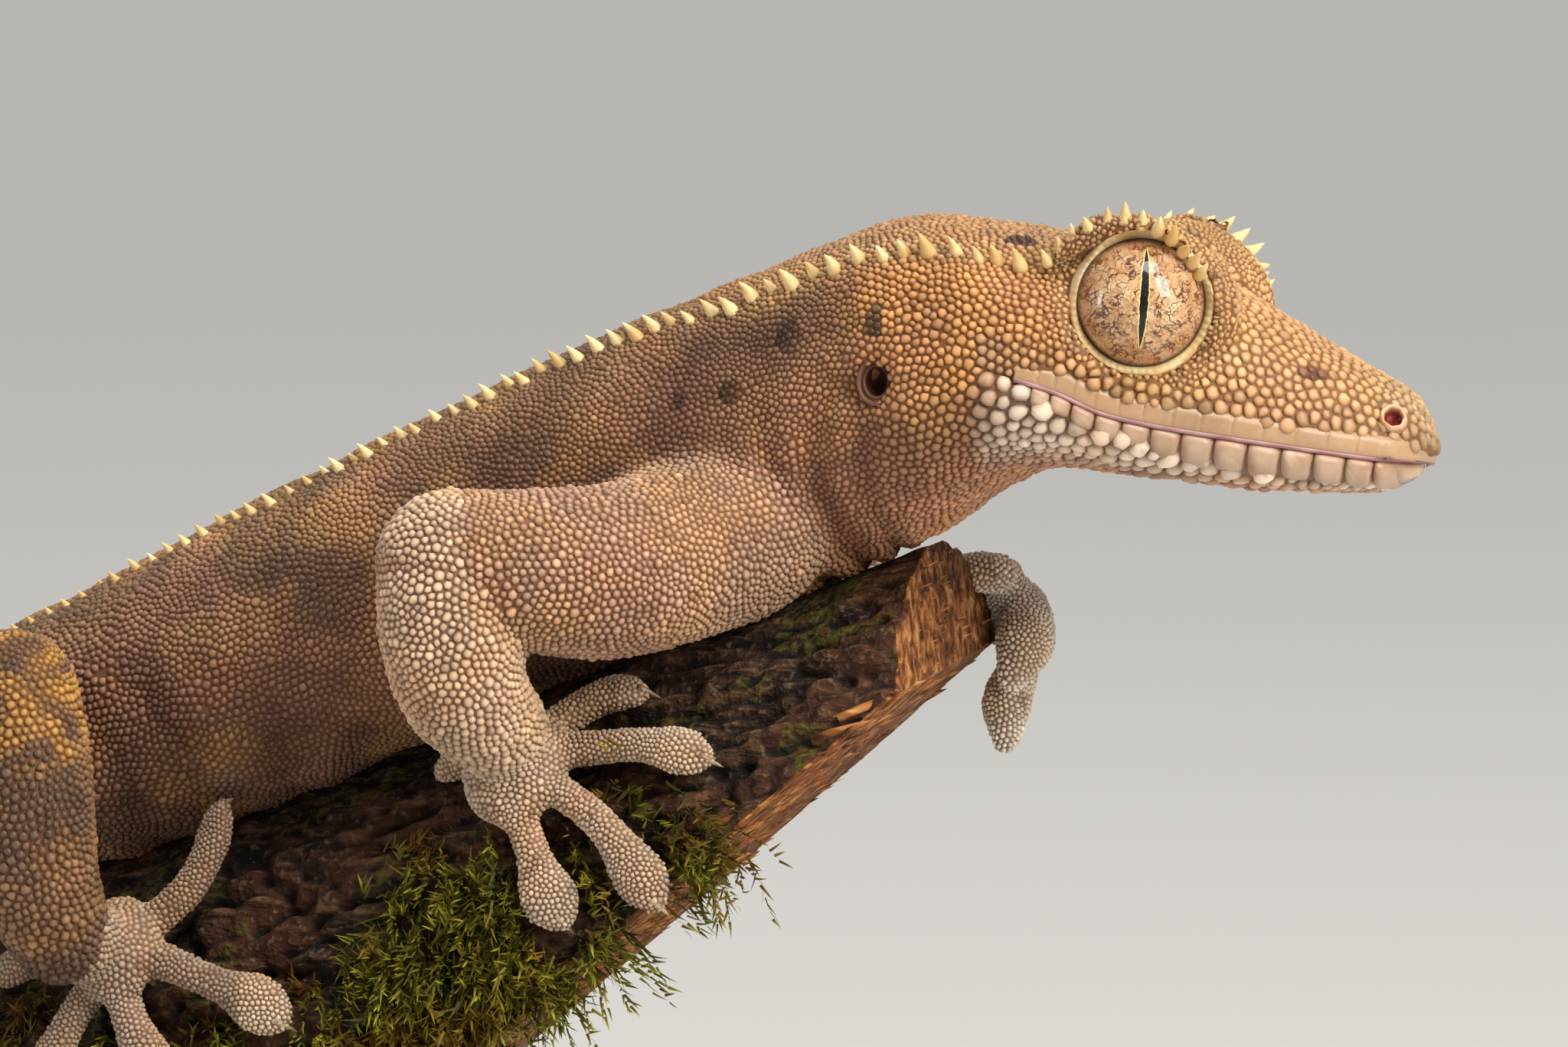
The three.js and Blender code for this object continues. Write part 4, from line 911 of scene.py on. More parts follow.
def spread_scales(points, triangles, scale, rounds, seed):
    """Scatters roots over a surface and lets them push each other apart into even rows."""
    rng = np.random.default_rng(seed)
    a, b, c = (points[triangles[:, i]] for i in range(3))
    cross = np.cross(b - a, c - a)
    area = np.linalg.norm(cross, axis=1) / 2
    flat_normals = unit(cross)
    middles = (a + b + c) / 3
    info = place_in_body(middles)
    wanted = scale_size(info) * scale
    number = area / (0.866 * wanted ** 2) * 1.04
    number[hidden(middles, info)] = 0
    total = int(number.sum())
    chosen = rng.choice(len(triangles), total, p=number / number.sum())
    u, w = rng.random(total), rng.random(total)
    flip = u + w > 1
    u[flip], w[flip] = 1 - u[flip], 1 - w[flip]
    roots = a[chosen] + (b - a)[chosen] * u[:, None] + (c - a)[chosen] * w[:, None]
    normals = flat_normals[chosen]
    vary = np.clip(rng.normal(1, 0.12, total), 0.76, 1.3)
    size = wanted[chosen] * vary
    tree = work["tree"]
    faces = chosen
    for turn in range(rounds):
        if turn % 4 == 0:
            reach = min(size.max() * 1.25, 1.3)
            big = size > 0.62
            pairs = near_pairs(roots, 0.62 * 1.3)
            if big.any():
                picked = np.flatnonzero(size > BIG_SCALE)
                i, j = near_pairs(roots[picked], reach)
                pairs = tuple(np.concatenate(p) for p in zip(pairs, (picked[i], picked[j])))
                both = np.unique(np.stack([np.minimum(*pairs), np.maximum(*pairs)], 1), axis=0)
                pairs = both[:, 0], both[:, 1]
        i, j = pairs
        gap = roots[j] - roots[i]
        away = np.maximum(np.linalg.norm(gap, axis=1), 1e-6)
        rest = (size[i] + size[j]) / 2 * 1.12
        facing = (normals[i] * normals[j]).sum(1) > 0.2
        push = np.where((away < rest) & facing, (rest - away) / away, 0)[:, None] * gap * 0.24
        move = summed(j, push, len(roots)) - summed(i, push, len(roots))
        move -= (move * normals).sum(1, keepdims=True) * normals
        long = np.linalg.norm(move, axis=1, keepdims=True)
        roots = roots + move * np.minimum(1, 0.3 * size[:, None] / np.maximum(long, 1e-9))
        if turn % 4 == 3 or turn == rounds - 1:
            roots, faces, normals = settle(tree, roots, flat_normals)
            size = wanted[faces] * vary
    return roots, faces, size


def hidden(points, info):
    """Where no scale grows: the eyes, the lips, the pits and what the branch covers."""
    s, h, v = info["s"], info["h"], info["v"]
    bare = in_branch(points)
    for side in (-1, 1):
        bare |= np.linalg.norm(points - eye_centre(side), axis=1) < EYE["radius"] + 0.12
        bare |= (eye_distance(points) < 3.4) & (v * side > 5) & (s < 19) & (s > 9)
        for pit, wide in ((NOSTRIL, 0.78), (EAR, 0.86)):
            gap = np.hypot(s - pit["s"], h - pit["h"])
            bare |= np.linalg.norm(points - head_place(side, **pit), axis=1) < wide
            bare |= (gap < wide) & (v * side > 4)
    band = lip_band(info)
    above = np.where(s < 17.6, 1.02 - 0.25 * smoothstep(s, 2, 0.5), 0.3)
    below = labial_height(s) - 0.3
    bare |= (s < 18.6) & (band < above) & (band > -below) & (points[:, 0] > 30)
    return bare


def labial_height(s):
    """How tall the plates of the lower lip are at s."""
    return profile([
        (0, 1.5), (4, 1.55), (8, 1.75), (11, 1.6), (13.5, 1.2), (16, 0.95), (18, 0.8), (18.6, 0),
    ])(s)


BIG_SCALE = 0.5  # scales wider than this get a finer dome
PIECE_TRIANGLES = 190000
PATCH = 0.0015  # half the width of a scale's patch in the bake map
DOME = ((0.0, 1.0), (0.72, 0.74), (1.0, -0.12))  # reach and height of the rings of a small scale
BIG_DOME = ((0.0, 1.0), (0.42, 0.94), (0.80, 0.64), (1.0, -0.14))


def dome_faces(sides, rings):
    """Triangles of one dome: a point, then rings of the same number of corners."""
    faces = []
    for k in range(sides):
        n = (k + 1) % sides
        faces.append((0, 1 + k, 1 + n))
        for ring in range(rings - 1):
            a, b = 1 + ring * sides, 1 + (ring + 1) * sides
            faces.append((a + k, b + k, b + n))
            faces.append((a + k, b + n, a + n))
    return np.array(faces)


def build_scales(skin, scale):
    """Every scale as a dome, fitted to its neighbours, lying back along the body."""
    points, triangles = mesh_arrays(skin)
    normals_smooth = point_normals(points, triangles)
    rounds = 32
    roots, faces, size = spread_scales(points, triangles, scale, rounds, 5)
    info = place_in_body(roots)
    keep = ~hidden(roots, info)
    roots, faces, size = roots[keep], faces[keep], size[keep]
    info = {key: value[keep] for key, value in info.items()}
    corners = triangles[faces]
    weights = 1 / (np.linalg.norm(points[corners] - roots[:, None], axis=2) + 0.02)
    normals = unit((normals_smooth[corners] * weights[..., None]).sum(1))
    lie = info["lie"]
    lie = unit(lie - (lie * normals).sum(1, keepdims=True) * normals)
    across = np.cross(normals, lie)
    colours = coat_colours(info)
    rng = np.random.default_rng(8)
    shade = rng.normal(0, 1, len(roots))
    pairs_i, pairs_j = near_pairs(roots, 1.15)
    rest = np.maximum(size[pairs_i], size[pairs_j]) * 1.9
    gap = roots[pairs_j] - roots[pairs_i]
    close = (np.linalg.norm(gap, axis=1) < rest)
    i = np.concatenate([pairs_i[close], pairs_j[close]])
    j = np.concatenate([pairs_j[close], pairs_i[close]])
    gap = roots[j] - roots[i]
    x = (gap * lie[i]).sum(1)
    y = (gap * across[i]).sum(1)
    away = np.hypot(x, y)
    share = size[i] / (size[i] + size[j])
    band = lip_band(info)
    ride = np.where(info["limb"] > 0.5, 0.43, 0.37 - 0.13 * smoothstep(info["s"], 14, 10))
    ride = np.where((band < 0) & (info["s"] < 21), 0.36, ride)
    ride = ride * (1 + 0.12 * rng.normal(size=len(roots)))
    flat = smoothstep(info["s"], 14, 11) * (info["limb"] < 0.5)
    uvs = rows_of(skin.uv_layers["OFBake"].data, "uv", 2)
    root_uv = uvs[rows_of(skin.loop_triangles, "loops", 3, np.int64)[faces]].mean(1)
    pieces = []
    for big in (False, True):
        chosen = np.flatnonzero((size > BIG_SCALE) == big)
        if not len(chosen):
            continue
        sides = 10 if big else 6
        rings = BIG_DOME if big else DOME
        phase = rng.uniform(0, 2 * np.pi, len(roots))
        angles = phase[:, None] + np.linspace(0, 2 * np.pi, sides, endpoint=False)[None]
        limit = np.repeat((size * (0.62 + 0.12 * flat + 0.1 * big))[:, None], sides, 1)
        for k in range(sides):
            facing = (x * np.cos(angles[i, k]) + y * np.sin(angles[i, k])) / np.maximum(away, 1e-6)
            ok = facing > 0.35
            edge = away[ok] * share[ok] / facing[ok]
            np.minimum.at(limit[:, k], i[ok], edge)
        limit = np.maximum(limit, size[:, None] * 0.2)
        reach = limit[chosen] * 0.97
        turn = angles[chosen]
        wide = reach.mean(1)
        high = ride[chosen] * wide * 2
        n, l, w = normals[chosen], lie[chosen], across[chosen]
        base = roots[chosen]
        parts = [base + n * high[:, None] + l * (wide * 0.22)[:, None]]
        for ring_reach, ring_high in rings[1:]:
            out = (np.cos(turn) * reach * ring_reach)[..., None] * l[:, None]
            out = out + (np.sin(turn) * reach * ring_reach)[..., None] * w[:, None]
            lean = l[:, None] * (wide * 0.22 * max(ring_high, 0))[:, None, None]
            lifted = high * ring_high if ring_high > 0 else np.full(len(high), ring_high)
            rise = n[:, None] * lifted[:, None, None]
            parts.append((base[:, None] + out + rise + lean).reshape(len(chosen), sides, 3))
        coords = np.concatenate([parts[0][:, None]] + parts[1:], 1)
        number = coords.shape[1]
        pattern = dome_faces(sides, len(rings) - 1)
        circle = np.linspace(0, 2 * np.pi, sides, endpoint=False)
        circle = np.stack([np.cos(circle), np.sin(circle)], 1)
        patch = np.concatenate([[[0, 0]]] + [circle * share_of for share_of, _ in rings[1:]])
        patch_uv = root_uv[chosen][:, None] + patch[None] * PATCH
        rise_value = np.concatenate([[1.0]] + [np.full(sides, max(hh, 0)) for _, hh in rings[1:]])
        per = PIECE_TRIANGLES // len(pattern)
        order = np.lexsort((info["s"][chosen], info["kind"][chosen] * (info["limb"][chosen] > 0.5)))
        for start in range(0, len(chosen), per):
            pick = order[start:start + per]
            tri = (pattern[None] + (np.arange(len(pick)) * number)[:, None, None]).reshape(-1, 3)
            values = {
                "coat": np.repeat(colours[chosen][pick], number, 0),
                "shade": np.repeat(shade[chosen][pick], number),
                "rise": np.tile(rise_value, len(pick)),
            }
            pieces.append((coords[pick].reshape(-1, 3), tri, patch_uv[pick].reshape(-1, 2), values))
    return pieces


# Materials


class Nodes:
    """Makes the nodes of a material or a group, and joins them."""

    def __init__(self, tree):
        self.tree = tree
        tree.nodes.clear()

    def add(self, kind, links=None, **settings):
        node = self.tree.nodes.new(kind)
        for key, value in settings.items():
            setattr(node, key, value)
        for key, value in (links or {}).items():
            socket = node.inputs[key]
            if isinstance(value, bpy.types.NodeSocket):
                self.tree.links.new(value, socket)
            else:
                socket.default_value = value
        return node

    def math(self, operation, first, second=0.5, third=None, clamp=False):
        links = {0: first, 1: second} if third is None else {0: first, 1: second, 2: third}
        return self.add("ShaderNodeMath", links, operation=operation, use_clamp=clamp).outputs[0]

    def vector(self, operation, first, second, output=0, name=1):
        links = {0: first, name: second}
        return self.add("ShaderNodeVectorMath", links, operation=operation).outputs[output]

    def mix(self, factor, first, second):
        links = {"Factor": factor, 6: first, 7: second}
        return self.add("ShaderNodeMix", links, data_type="RGBA").outputs[2]

    def tint(self, base, colour, mask, strength):
        """Lays a display colour over a base where a mask is light."""
        return self.mix(self.math("MULTIPLY", mask, strength), base, tone(*colour))

    def hue(self, colour, saturation, value):
        links = {"Color": colour, "Saturation": saturation, "Value": value}
        return self.add("ShaderNodeHueSaturation", links).outputs[0]

    def noise(self, where, scale, detail=3.0, distortion=0.0):
        links = {"Vector": where, "Scale": scale, "Detail": detail, "Distortion": distortion}
        return self.add("ShaderNodeTexNoise", links, noise_dimensions="3D").outputs[0]

    def fade(self, value, low, high, most=1.0):
        """Black up to low, and light from high."""
        return self.steps(value, [(low, (0, 0, 0)), (high, (most,) * 3)])

    def value(self, name, output="Fac"):
        """What the mesh holds under a name at each point."""
        return self.add("ShaderNodeAttribute", attribute_type="GEOMETRY", attribute_name=name).outputs[output]

    def coat(self):
        return self.value("coat", "Color")

    def steps(self, value, stops, interpolation="EASE"):
        node = self.add("ShaderNodeValToRGB", {"Fac": value})
        ramp = node.color_ramp
        ramp.interpolation = interpolation
        while len(ramp.elements) < len(stops):
            ramp.elements.new(0.5)
        for element, (place, colour) in zip(ramp.elements, stops):
            element.position = place
            element.color = colour if len(colour) == 4 else (*colour, 1)
        return node.outputs[0]

    def bump(self, height, strength, distance):
        links = {"Height": height, "Strength": strength, "Distance": distance}
        return self.add("ShaderNodeBump", links).outputs[0]


def tone(red, green, blue):
    return (*linear(red, green, blue), 1.0)


def group(name, inputs, outputs, fill):
    """A shader node group with named sockets, built once."""
    if name in bpy.data.node_groups:
        return bpy.data.node_groups[name]
    tree = bpy.data.node_groups.new(name, "ShaderNodeTree")
    for socket, kind, value in inputs:
        made = tree.interface.new_socket(socket, in_out="INPUT", socket_type=kind)
        if value is not None:
            made.default_value = value
    for socket, kind in outputs:
        tree.interface.new_socket(socket, in_out="OUTPUT", socket_type=kind)
    nodes = Nodes(tree)
    start = nodes.add("NodeGroupInput")
    end = nodes.add("NodeGroupOutput")
    for socket, value in fill(nodes, start.outputs).items():
        tree.links.new(value, end.inputs[socket])
    return tree


def material(name, build, **settings):
    """A material of one Principled shader, whose sockets build fills and settings fix."""
    made = bpy.data.materials.new(name)
    made.use_nodes = True
    nodes = Nodes(made.node_tree)
    shader = nodes.add("ShaderNodeBsdfPrincipled")
    out = nodes.add("ShaderNodeOutputMaterial")
    made.node_tree.links.new(shader.outputs[0], out.inputs["Surface"])
    where = nodes.add("ShaderNodeTexCoord").outputs["Object"]
    for socket, value in build(nodes, where).items():
        made.node_tree.links.new(value, shader.inputs[socket])
    for socket, value in settings.items():
        shader.inputs[socket.replace("_", " ")].default_value = value
    made.diffuse_color = (0.6, 0.45, 0.3, 1)
    return made


def hide_markings():
    """Fine markings that the skin and the scales share: freckles, and yellow and rose flushes."""
    def fill(nodes, start):
        where = start["Where"]
        freckle = nodes.fade(nodes.noise(where, 900, 2), 0.60, 0.72)
        flush = nodes.fade(nodes.noise(where, 230, 3), 0.42, 0.66)
        rose = nodes.fade(nodes.noise(where, 160, 2, 0.4), 0.45, 0.65)
        colour = nodes.tint(start["Colour"], (206, 150, 66), flush, 0.30)
        colour = nodes.tint(colour, (190, 128, 104), rose, 0.22)
        colour = nodes.tint(colour, (122, 78, 44), freckle, 0.45)
        return {"Colour": colour}
    return group(
        "hide_markings",
        [("Where", "NodeSocketVector", None), ("Colour", "NodeSocketColor", (0.5, 0.4, 0.3, 1))],
        [("Colour", "NodeSocketColor")],
        fill,
    )


def marked_coat(nodes, where):
    links = {"Where": where, "Colour": nodes.coat()}
    return nodes.add("ShaderNodeGroup", links, node_tree=hide_markings()).outputs[0]


def scale_material():
    def build(nodes, where):
        rise = nodes.value("rise")
        value = nodes.math("MULTIPLY_ADD", nodes.value("shade"), 0.12, 0.96)
        varied = nodes.hue(marked_coat(nodes, where), 1.0, value)
        # Painted shade: each scale darkens to deep brown towards its foot, in the grooves between the scales
        painted_gap_shade = nodes.steps(rise, [(0.0, (1, 1, 1)), (0.62, (0.12, 0.12, 0.12)), (0.9, (0, 0, 0))], "LINEAR")
        base = nodes.tint(varied, (84, 42, 20), painted_gap_shade, 0.9)
        # Painted highlight: each scale's top is lighter and paler than its sides
        top = nodes.math("MULTIPLY", nodes.math("POWER", rise, 3.0), 0.34)
        highlighted = nodes.mix(top, base, nodes.hue(varied, 0.8, 1.9))
        grain = nodes.noise(where, 9000, 2)
        rough = nodes.math("MULTIPLY_ADD", grain, 0.22, 0.36)
        return {"Base Color": highlighted, "Roughness": rough, "Normal": nodes.bump(grain, 0.12, 0.00005)}
    return material("scales", build, Specular_IOR_Level=0.42, Subsurface_Weight=0.06, Subsurface_Scale=0.0006)


def skin_material():
    def build(nodes, where):
        # The skin shows mostly in the gaps between the scales; it is darkened to deep brown there as painted
        # shade
        dark = nodes.mix(0.72, marked_coat(nodes, where), tone(92, 52, 28))
        grain = nodes.noise(where, 5200, 3)
        return {
            "Base Color": nodes.tint(dark, (150, 100, 62), grain, 0.35),
            "Roughness": nodes.math("MULTIPLY_ADD", grain, 0.2, 0.5),
            "Normal": nodes.bump(grain, 0.3, 0.00008),
        }
    return material("skin", build, Specular_IOR_Level=0.3)


# The eyes, lids and lips


def upright(out):
    """Two directions square to a way out: one level and one as upright as can be."""
    up = unit(np.array([0, 0, 1.0]) - out * out[2])
    return np.cross(up, out), up


def eye_frame(side):
    """An eye's own directions: across to its front, up, and out."""
    out = eye_axis(side)
    front, up = upright(out)
    return front * -side, up, out


def eye_shape(side):
    """An eye's ball, its poles along the way that it looks."""
    bm = bmesh.new()
    front, up, out = eye_frame(side)
    middle = eye_centre(side)

    def place(p):
        return middle + p[:, 0:1] * front + p[:, 1:2] * up + p[:, 2:3] * out
    ball_shape(bm, place, (EYE["radius"] - 0.02,) * 3, 96)
    return bm


def iris_material(name, side):
    """A tan iris with dark crinkled veins, a slit pupil with a crinkled edge, and a clear, wet coat."""
    front, up, _ = eye_frame(side)
    middle = eye_centre(side) * MM

    def build(nodes, where):
        gap = nodes.vector("SUBTRACT", where, tuple(middle))

        def along(way):
            dot = nodes.vector("DOT_PRODUCT", gap, tuple(way), "Value")
            return nodes.math("MULTIPLY", dot, 1 / (EYE["opening"] * MM))
        across, height = along(front), along(up)
        flat = nodes.add("ShaderNodeCombineXYZ", {"X": across, "Y": height, "Z": 0.0}).outputs[0]
        radius = nodes.vector("LENGTH", flat, (0, 0, 0), "Value")
        # The slit leans forward at its top, and both its edges are crinkled
        tilt = nodes.math("ADD", nodes.math("MULTIPLY_ADD", height, -0.075, across), -0.005)
        crinkle = nodes.noise(flat, 9.0, 3)
        edge = nodes.math("MULTIPLY_ADD", nodes.math("SUBTRACT", crinkle, 0.5), 0.06, 0.062)
        fall = nodes.math("POWER", nodes.math("ABSOLUTE", nodes.math("MULTIPLY_ADD", height, 1.32, -0.07)), 2.6)
        half = nodes.math("MULTIPLY", edge, nodes.math("SUBTRACT", 1.0, fall, clamp=True))
        past = nodes.math("SUBTRACT", nodes.math("ABSOLUTE", tilt), half)
        ends = nodes.math("LESS_THAN", fall, 1.0)
        slit = nodes.math("MULTIPLY", nodes.math("LESS_THAN", past, 0.0), ends)
        line = nodes.math("MULTIPLY", nodes.steps(past, [(0.012, (1, 1, 1)), (0.026, (0, 0, 0))]), ends)
        ground = nodes.steps(nodes.noise(flat, 3.2, 3), [
            (0.3, tone(192, 136, 86)), (0.5, tone(218, 172, 124)), (0.72, tone(232, 200, 158)),
        ])
        speck = nodes.noise(flat, 55, 2)
        ground = nodes.mix(nodes.fade(speck, 0.5, 0.66, 0.4), ground, tone(246, 218, 178))
        # Two sizes of dark veins, bent and broken up
        wander = nodes.add("ShaderNodeTexNoise", {"Vector": flat, "Scale": 6.5, "Detail": 2.0}).outputs["Color"]
        shift = nodes.vector("SUBTRACT", wander, (0.5, 0.5, 0.5))
        bent = nodes.vector("ADD", flat, nodes.vector("SCALE", shift, 0.5, name="Scale"))
        veins = []
        for scale, thin in ((3.6, 0.075), (6.6, 0.085)):
            cell = nodes.add(
                "ShaderNodeTexVoronoi", {"Vector": bent, "Scale": scale}, feature="DISTANCE_TO_EDGE"
            ).outputs["Distance"]
            veins.append(nodes.steps(cell, [(thin * 0.5, (1, 1, 1)), (thin, (0, 0, 0))], "LINEAR"))
        gate = nodes.steps(nodes.noise(flat, 6.0, 2), [(0.4, (0.35, 0.35, 0.35)), (0.52, (1, 1, 1))])
        veins = nodes.math("MAXIMUM", veins[0], nodes.math("MULTIPLY", veins[1], 0.6))
        web = nodes.math("MULTIPLY", veins, gate)
        colour = nodes.tint(ground, (76, 36, 14), web, 0.92)
        colour = nodes.tint(colour, (150, 88, 40), nodes.fade(radius, 0.55, 0.98), 0.4)
        colour = nodes.mix(nodes.fade(radius, 0.90, 0.985), colour, tone(42, 22, 12))
        colour = nodes.tint(colour, (236, 214, 120), line, 0.85)
        colour = nodes.mix(slit, colour, (0.003, 0.002, 0.002, 1))
        rough = nodes.math("MULTIPLY_ADD", slit, -0.1, 0.42)
        height_of = nodes.math("SUBTRACT", nodes.math("MULTIPLY", speck, 0.3), web)
        return {"Base Color": colour, "Roughness": rough, "Normal": nodes.bump(height_of, 0.25, 0.00006)}
    return material(name, build, Coat_Weight=1.0, Coat_Roughness=0.02, Coat_IOR=1.38, Specular_IOR_Level=0.2)


def lid_shape(side):
    """The roll of skin round an eye: notched like small scales, and smooth and wider below in front."""
    front, up, out = eye_frame(side)
    middle = eye_centre(side)
    turn = np.linspace(0, 2 * np.pi, 361)
    spokes = np.cos(turn)[:, None] * front + np.sin(turn)[:, None] * up
    crescent = np.exp(-((np.degrees(turn) - 298) / 34) ** 2)
    wide = 0.36 + 0.12 * crescent
    height = np.full(len(turn), 0.9)
    for i, spoke in enumerate(spokes[:-1]):
        start = middle + spoke * (EYE["opening"] + wide[i]) + out * 6
        hit, _, _, fallen = work["tree"].ray_cast(start.tolist(), (-out).tolist(), 7)
        height[i] = 6 - fallen if hit is not None else height[i - 1]
    around = np.arange(360)
    height[:-1] = sum(height[(around + step) % 360] for step in range(-9, 10)) / 19
    height[-1] = height[0]
    lumps = (0.5 + 0.5 * np.cos(turn * 58)) * (1 - 0.85 * crescent)
    rings = []
    for share in np.linspace(0, 1, 10):
        roll = math.sin(math.pi * share) ** 0.7
        level = 1.14 + (height - 1.14) * share ** 1.4 + roll * (0.16 - 0.07 * lumps)
        rings.append(middle + spokes * (EYE["lid"] + wide * share)[:, None] + level[:, None] * out)
    for reach, drop in ((0.06, 0.4), (0.0, 0.6)):
        rings.append(middle + spokes * (EYE["lid"] + wide + reach)[:, None] + (height - drop)[:, None] * out)
    rings.append(middle + spokes * EYE["lid"] + 0.5 * out)
    rings.append(rings[0])
    bm = bmesh.new()
    grid_shape(bm, np.array(rings), closed_ends=False)
    return bm


def lip_run(chin):
    """Places along a lip from the right corner of the mouth round the snout to the left one."""
    bend = NOSE_ROUNDING * (1 - np.cos(np.radians(np.linspace(2, 88, 26))))
    straight = np.arange(NOSE_ROUNDING + 0.06, 18.7, 0.07)
    s = np.concatenate([bend, straight])
    if chin:
        s = np.concatenate([bend + CHIN_BACK, straight[straight > NOSE_ROUNDING + CHIN_BACK]])
    return np.concatenate([s[::-1], s]), np.concatenate([-np.ones(len(s)), np.ones(len(s))])


def plate_dips(s, edges, wide):
    """How far the grooves between plates are sunk at each place, from 0 to 1."""
    dips = np.zeros(len(s))
    for place in edges:
        dips = np.maximum(dips, np.exp(-((s - place) / wide) ** 2))
    return dips


UPPER_EDGES = [0.9, 2.0, 3.2, 4.5, 5.9, 7.3, 8.7, 10.1, 11.4, 12.7, 13.8, 14.9, 15.9, 16.8, 17.6]
LOWER_EDGES = [1.15, 2.3, 3.55, 4.95, 6.4, 7.9, 9.4, 10.9, 12.3, 13.6, 14.8, 15.9, 16.9, 17.8]


def upper_lip_shape():
    """A smooth raised band over the mouth, parted into plates by faint grooves."""
    s, side = lip_run(False)
    groove = plate_dips(s, UPPER_EDGES, 0.07)
    fade = smoothstep(s, 18.7, 16.0)
    rows = []
    shares = np.concatenate([[-0.02], np.linspace(0, 1, 12), [1.02]])
    for n, share in enumerate(shares):
        edge = np.clip(share, 0, 1)
        swell = (1 - (2 * edge - 1) ** 4) * 0.07 * (0.5 + 0.5 * fade)
        h = mouth_height(s) + 0.07 + edge * (1.12 * (0.55 + 0.45 * fade))
        lift = -SKIN_INSET + 0.08 + swell - groove * (0.03 + 0.05 * edge) * (edge > 0)
        lift = lift - 0.12 * smoothstep(edge, 0.7, 1.0)
        if n in (0, len(shares) - 1):
            lift = np.full(len(s), -SKIN_INSET - 0.35)
        rows.append(head_surface(s, h, side, lift))
    return closed_band(rows)


def closed_band(rows):
    """A band of rows closed into a solid strip by a back that lies under the skin."""
    bm = bmesh.new()
    grid_shape(bm, np.array(rows + [rows[0]]))
    return bm


def cushion_pattern(cuts=8):
    """The points, as shares from -1 to 1, and the triangles of a box cut into small faces."""
    bm = bmesh.new()
    bmesh.ops.create_cube(bm, size=2)
    bmesh.ops.subdivide_edges(bm, edges=bm.edges[:], cuts=cuts, use_grid_fill=True)
    return pattern_of(bm)


def joined_shapes(name, shapes):
    """One mesh of many shapes, each given as its points and its triangles."""
    steps = np.cumsum([0] + [len(points) for points, _ in shapes[:-1]])
    triangles = [triangles + step for (_, triangles), step in zip(shapes, steps)]
    return joined_mesh(name, np.concatenate([points for points, _ in shapes]), np.concatenate(triangles))


def labial_shapes():
    """Plates of the lower lip: a big one at the chin, then a row down each side."""
    shapes = []
    shares, triangles = cushion_pattern()
    rng = np.random.default_rng(21)
    for side in (-1, 1):
        for start, end in zip(LOWER_EDGES, LOWER_EDGES[1:]):
            tall = float(labial_height((start + end) / 2)) * rng.uniform(0.94, 1.05)
            rise = rng.uniform(0.9, 1.1) * 0.2

            def place(p, start=start, end=end, side=side, tall=tall, rise=rise):
                x, y, z = p[:, 0], p[:, 1], p[:, 2]
                # Corners are rounded, more so below
                squeeze = np.where(y < 0, (1 - np.abs(y) ** 4 * 0.26), (1 - np.abs(y) ** 6 * 0.06))
                pinch = 1 - 0.12 * np.abs(x) ** 4
                s = (start + end) / 2 + x * squeeze * (end - start) * 0.5
                h = mouth_height(s) - 0.06 - tall * (1 - (y * pinch + 1) / 2)
                dome = (1 - np.abs(x) ** 3.2) * (1 - np.abs(y) ** 3.4)
                front = -SKIN_INSET - 0.12 + (rise + 0.24) * np.clip(dome, 0, 1) ** 0.4
                lift = np.where(z > 0, front, -SKIN_INSET - 0.4)
                lift = np.where(np.abs(z) < 1, -SKIN_INSET - 0.26 + z * 0.14, lift)
                return head_surface(s, h, np.full(len(s), side), lift)
            shapes.append((place(shares), triangles if side < 0 else triangles[:, ::-1]))

    def chin(p):
        """The plate at the chin, which spans both sides."""
        x, y, z = p[:, 0], p[:, 1], p[:, 2]
        squeeze = np.where(y < 0, (1 - np.abs(y) ** 3 * 0.35), 1)
        bend = np.radians(np.abs(x) * squeeze * 62)
        s = NOSE_ROUNDING * (1 - np.cos(np.maximum(bend, 0.02))) + CHIN_BACK
        h = mouth_height(s) - 0.06 - 1.45 * (1 - (y + 1) / 2)
        dome = (1 - np.abs(x) ** 4) * (1 - np.abs(y) ** 4)
        lift = np.where(z > 0, -SKIN_INSET - 0.1 + 0.42 * np.clip(dome, 0, 1) ** 0.4, -SKIN_INSET - 0.4)
        lift = np.where(np.abs(z) < 1, -SKIN_INSET - 0.25 + z * 0.15, lift)
        return head_surface(s, h, np.where(x < 0, -1, 1), lift)
    shares, triangles = cushion_pattern(12)
    shapes.append((chin(shares), triangles[:, ::-1]))
    return shapes


def gum_shape():
    """The thin mauve line of the closed mouth."""
    s, side = lip_run(False)
    rows = []
    for drop, lift in ((0.16, -0.5), (0.16, -0.16), (0.08, -0.03), (-0.02, -0.0), (-0.1, -0.06), (-0.16, -0.5)):
        rows.append(head_surface(s, mouth_height(s) + drop, side, np.full(len(s), lift - 0.07)))
    return closed_band(rows)


def lip_material(name, colour, top, rust=False):
    def build(nodes, where):
        cloud = nodes.noise(where, 480, 4)
        base = nodes.mix(nodes.fade(cloud, 0.35, 0.7), tone(*colour), tone(*top))
        if not rust:
            base = nodes.mix(0.7, base, nodes.coat())
        vein = nodes.noise(where, 2600, 3)
        base = nodes.tint(base, (236, 214, 186), vein, 0.18)
        stain = nodes.fade(nodes.noise(where, 210, 2), 0.70, 0.74)
        base = nodes.tint(base, (176, 96, 34), stain, 0.7 if rust else 0.0)
        # Painted shade: the hollow creases between the plates are darkened
        edge = nodes.add("ShaderNodeNewGeometry").outputs["Pointiness"]
        painted_crease_shade = nodes.steps(edge, [(0.44, (1, 1, 1)), (0.5, (0, 0, 0))])
        base = nodes.tint(base, (150, 104, 80), painted_crease_shade, 0.45)
        rough = nodes.math("MULTIPLY_ADD", vein, 0.25, 0.28)
        return {"Base Color": base, "Roughness": rough, "Normal": nodes.bump(vein, 0.12, 0.00006)}
    return material(
        name, build, Subsurface_Weight=0.12, Subsurface_Scale=0.0008, Coat_Weight=0.12, Coat_Roughness=0.3
    )


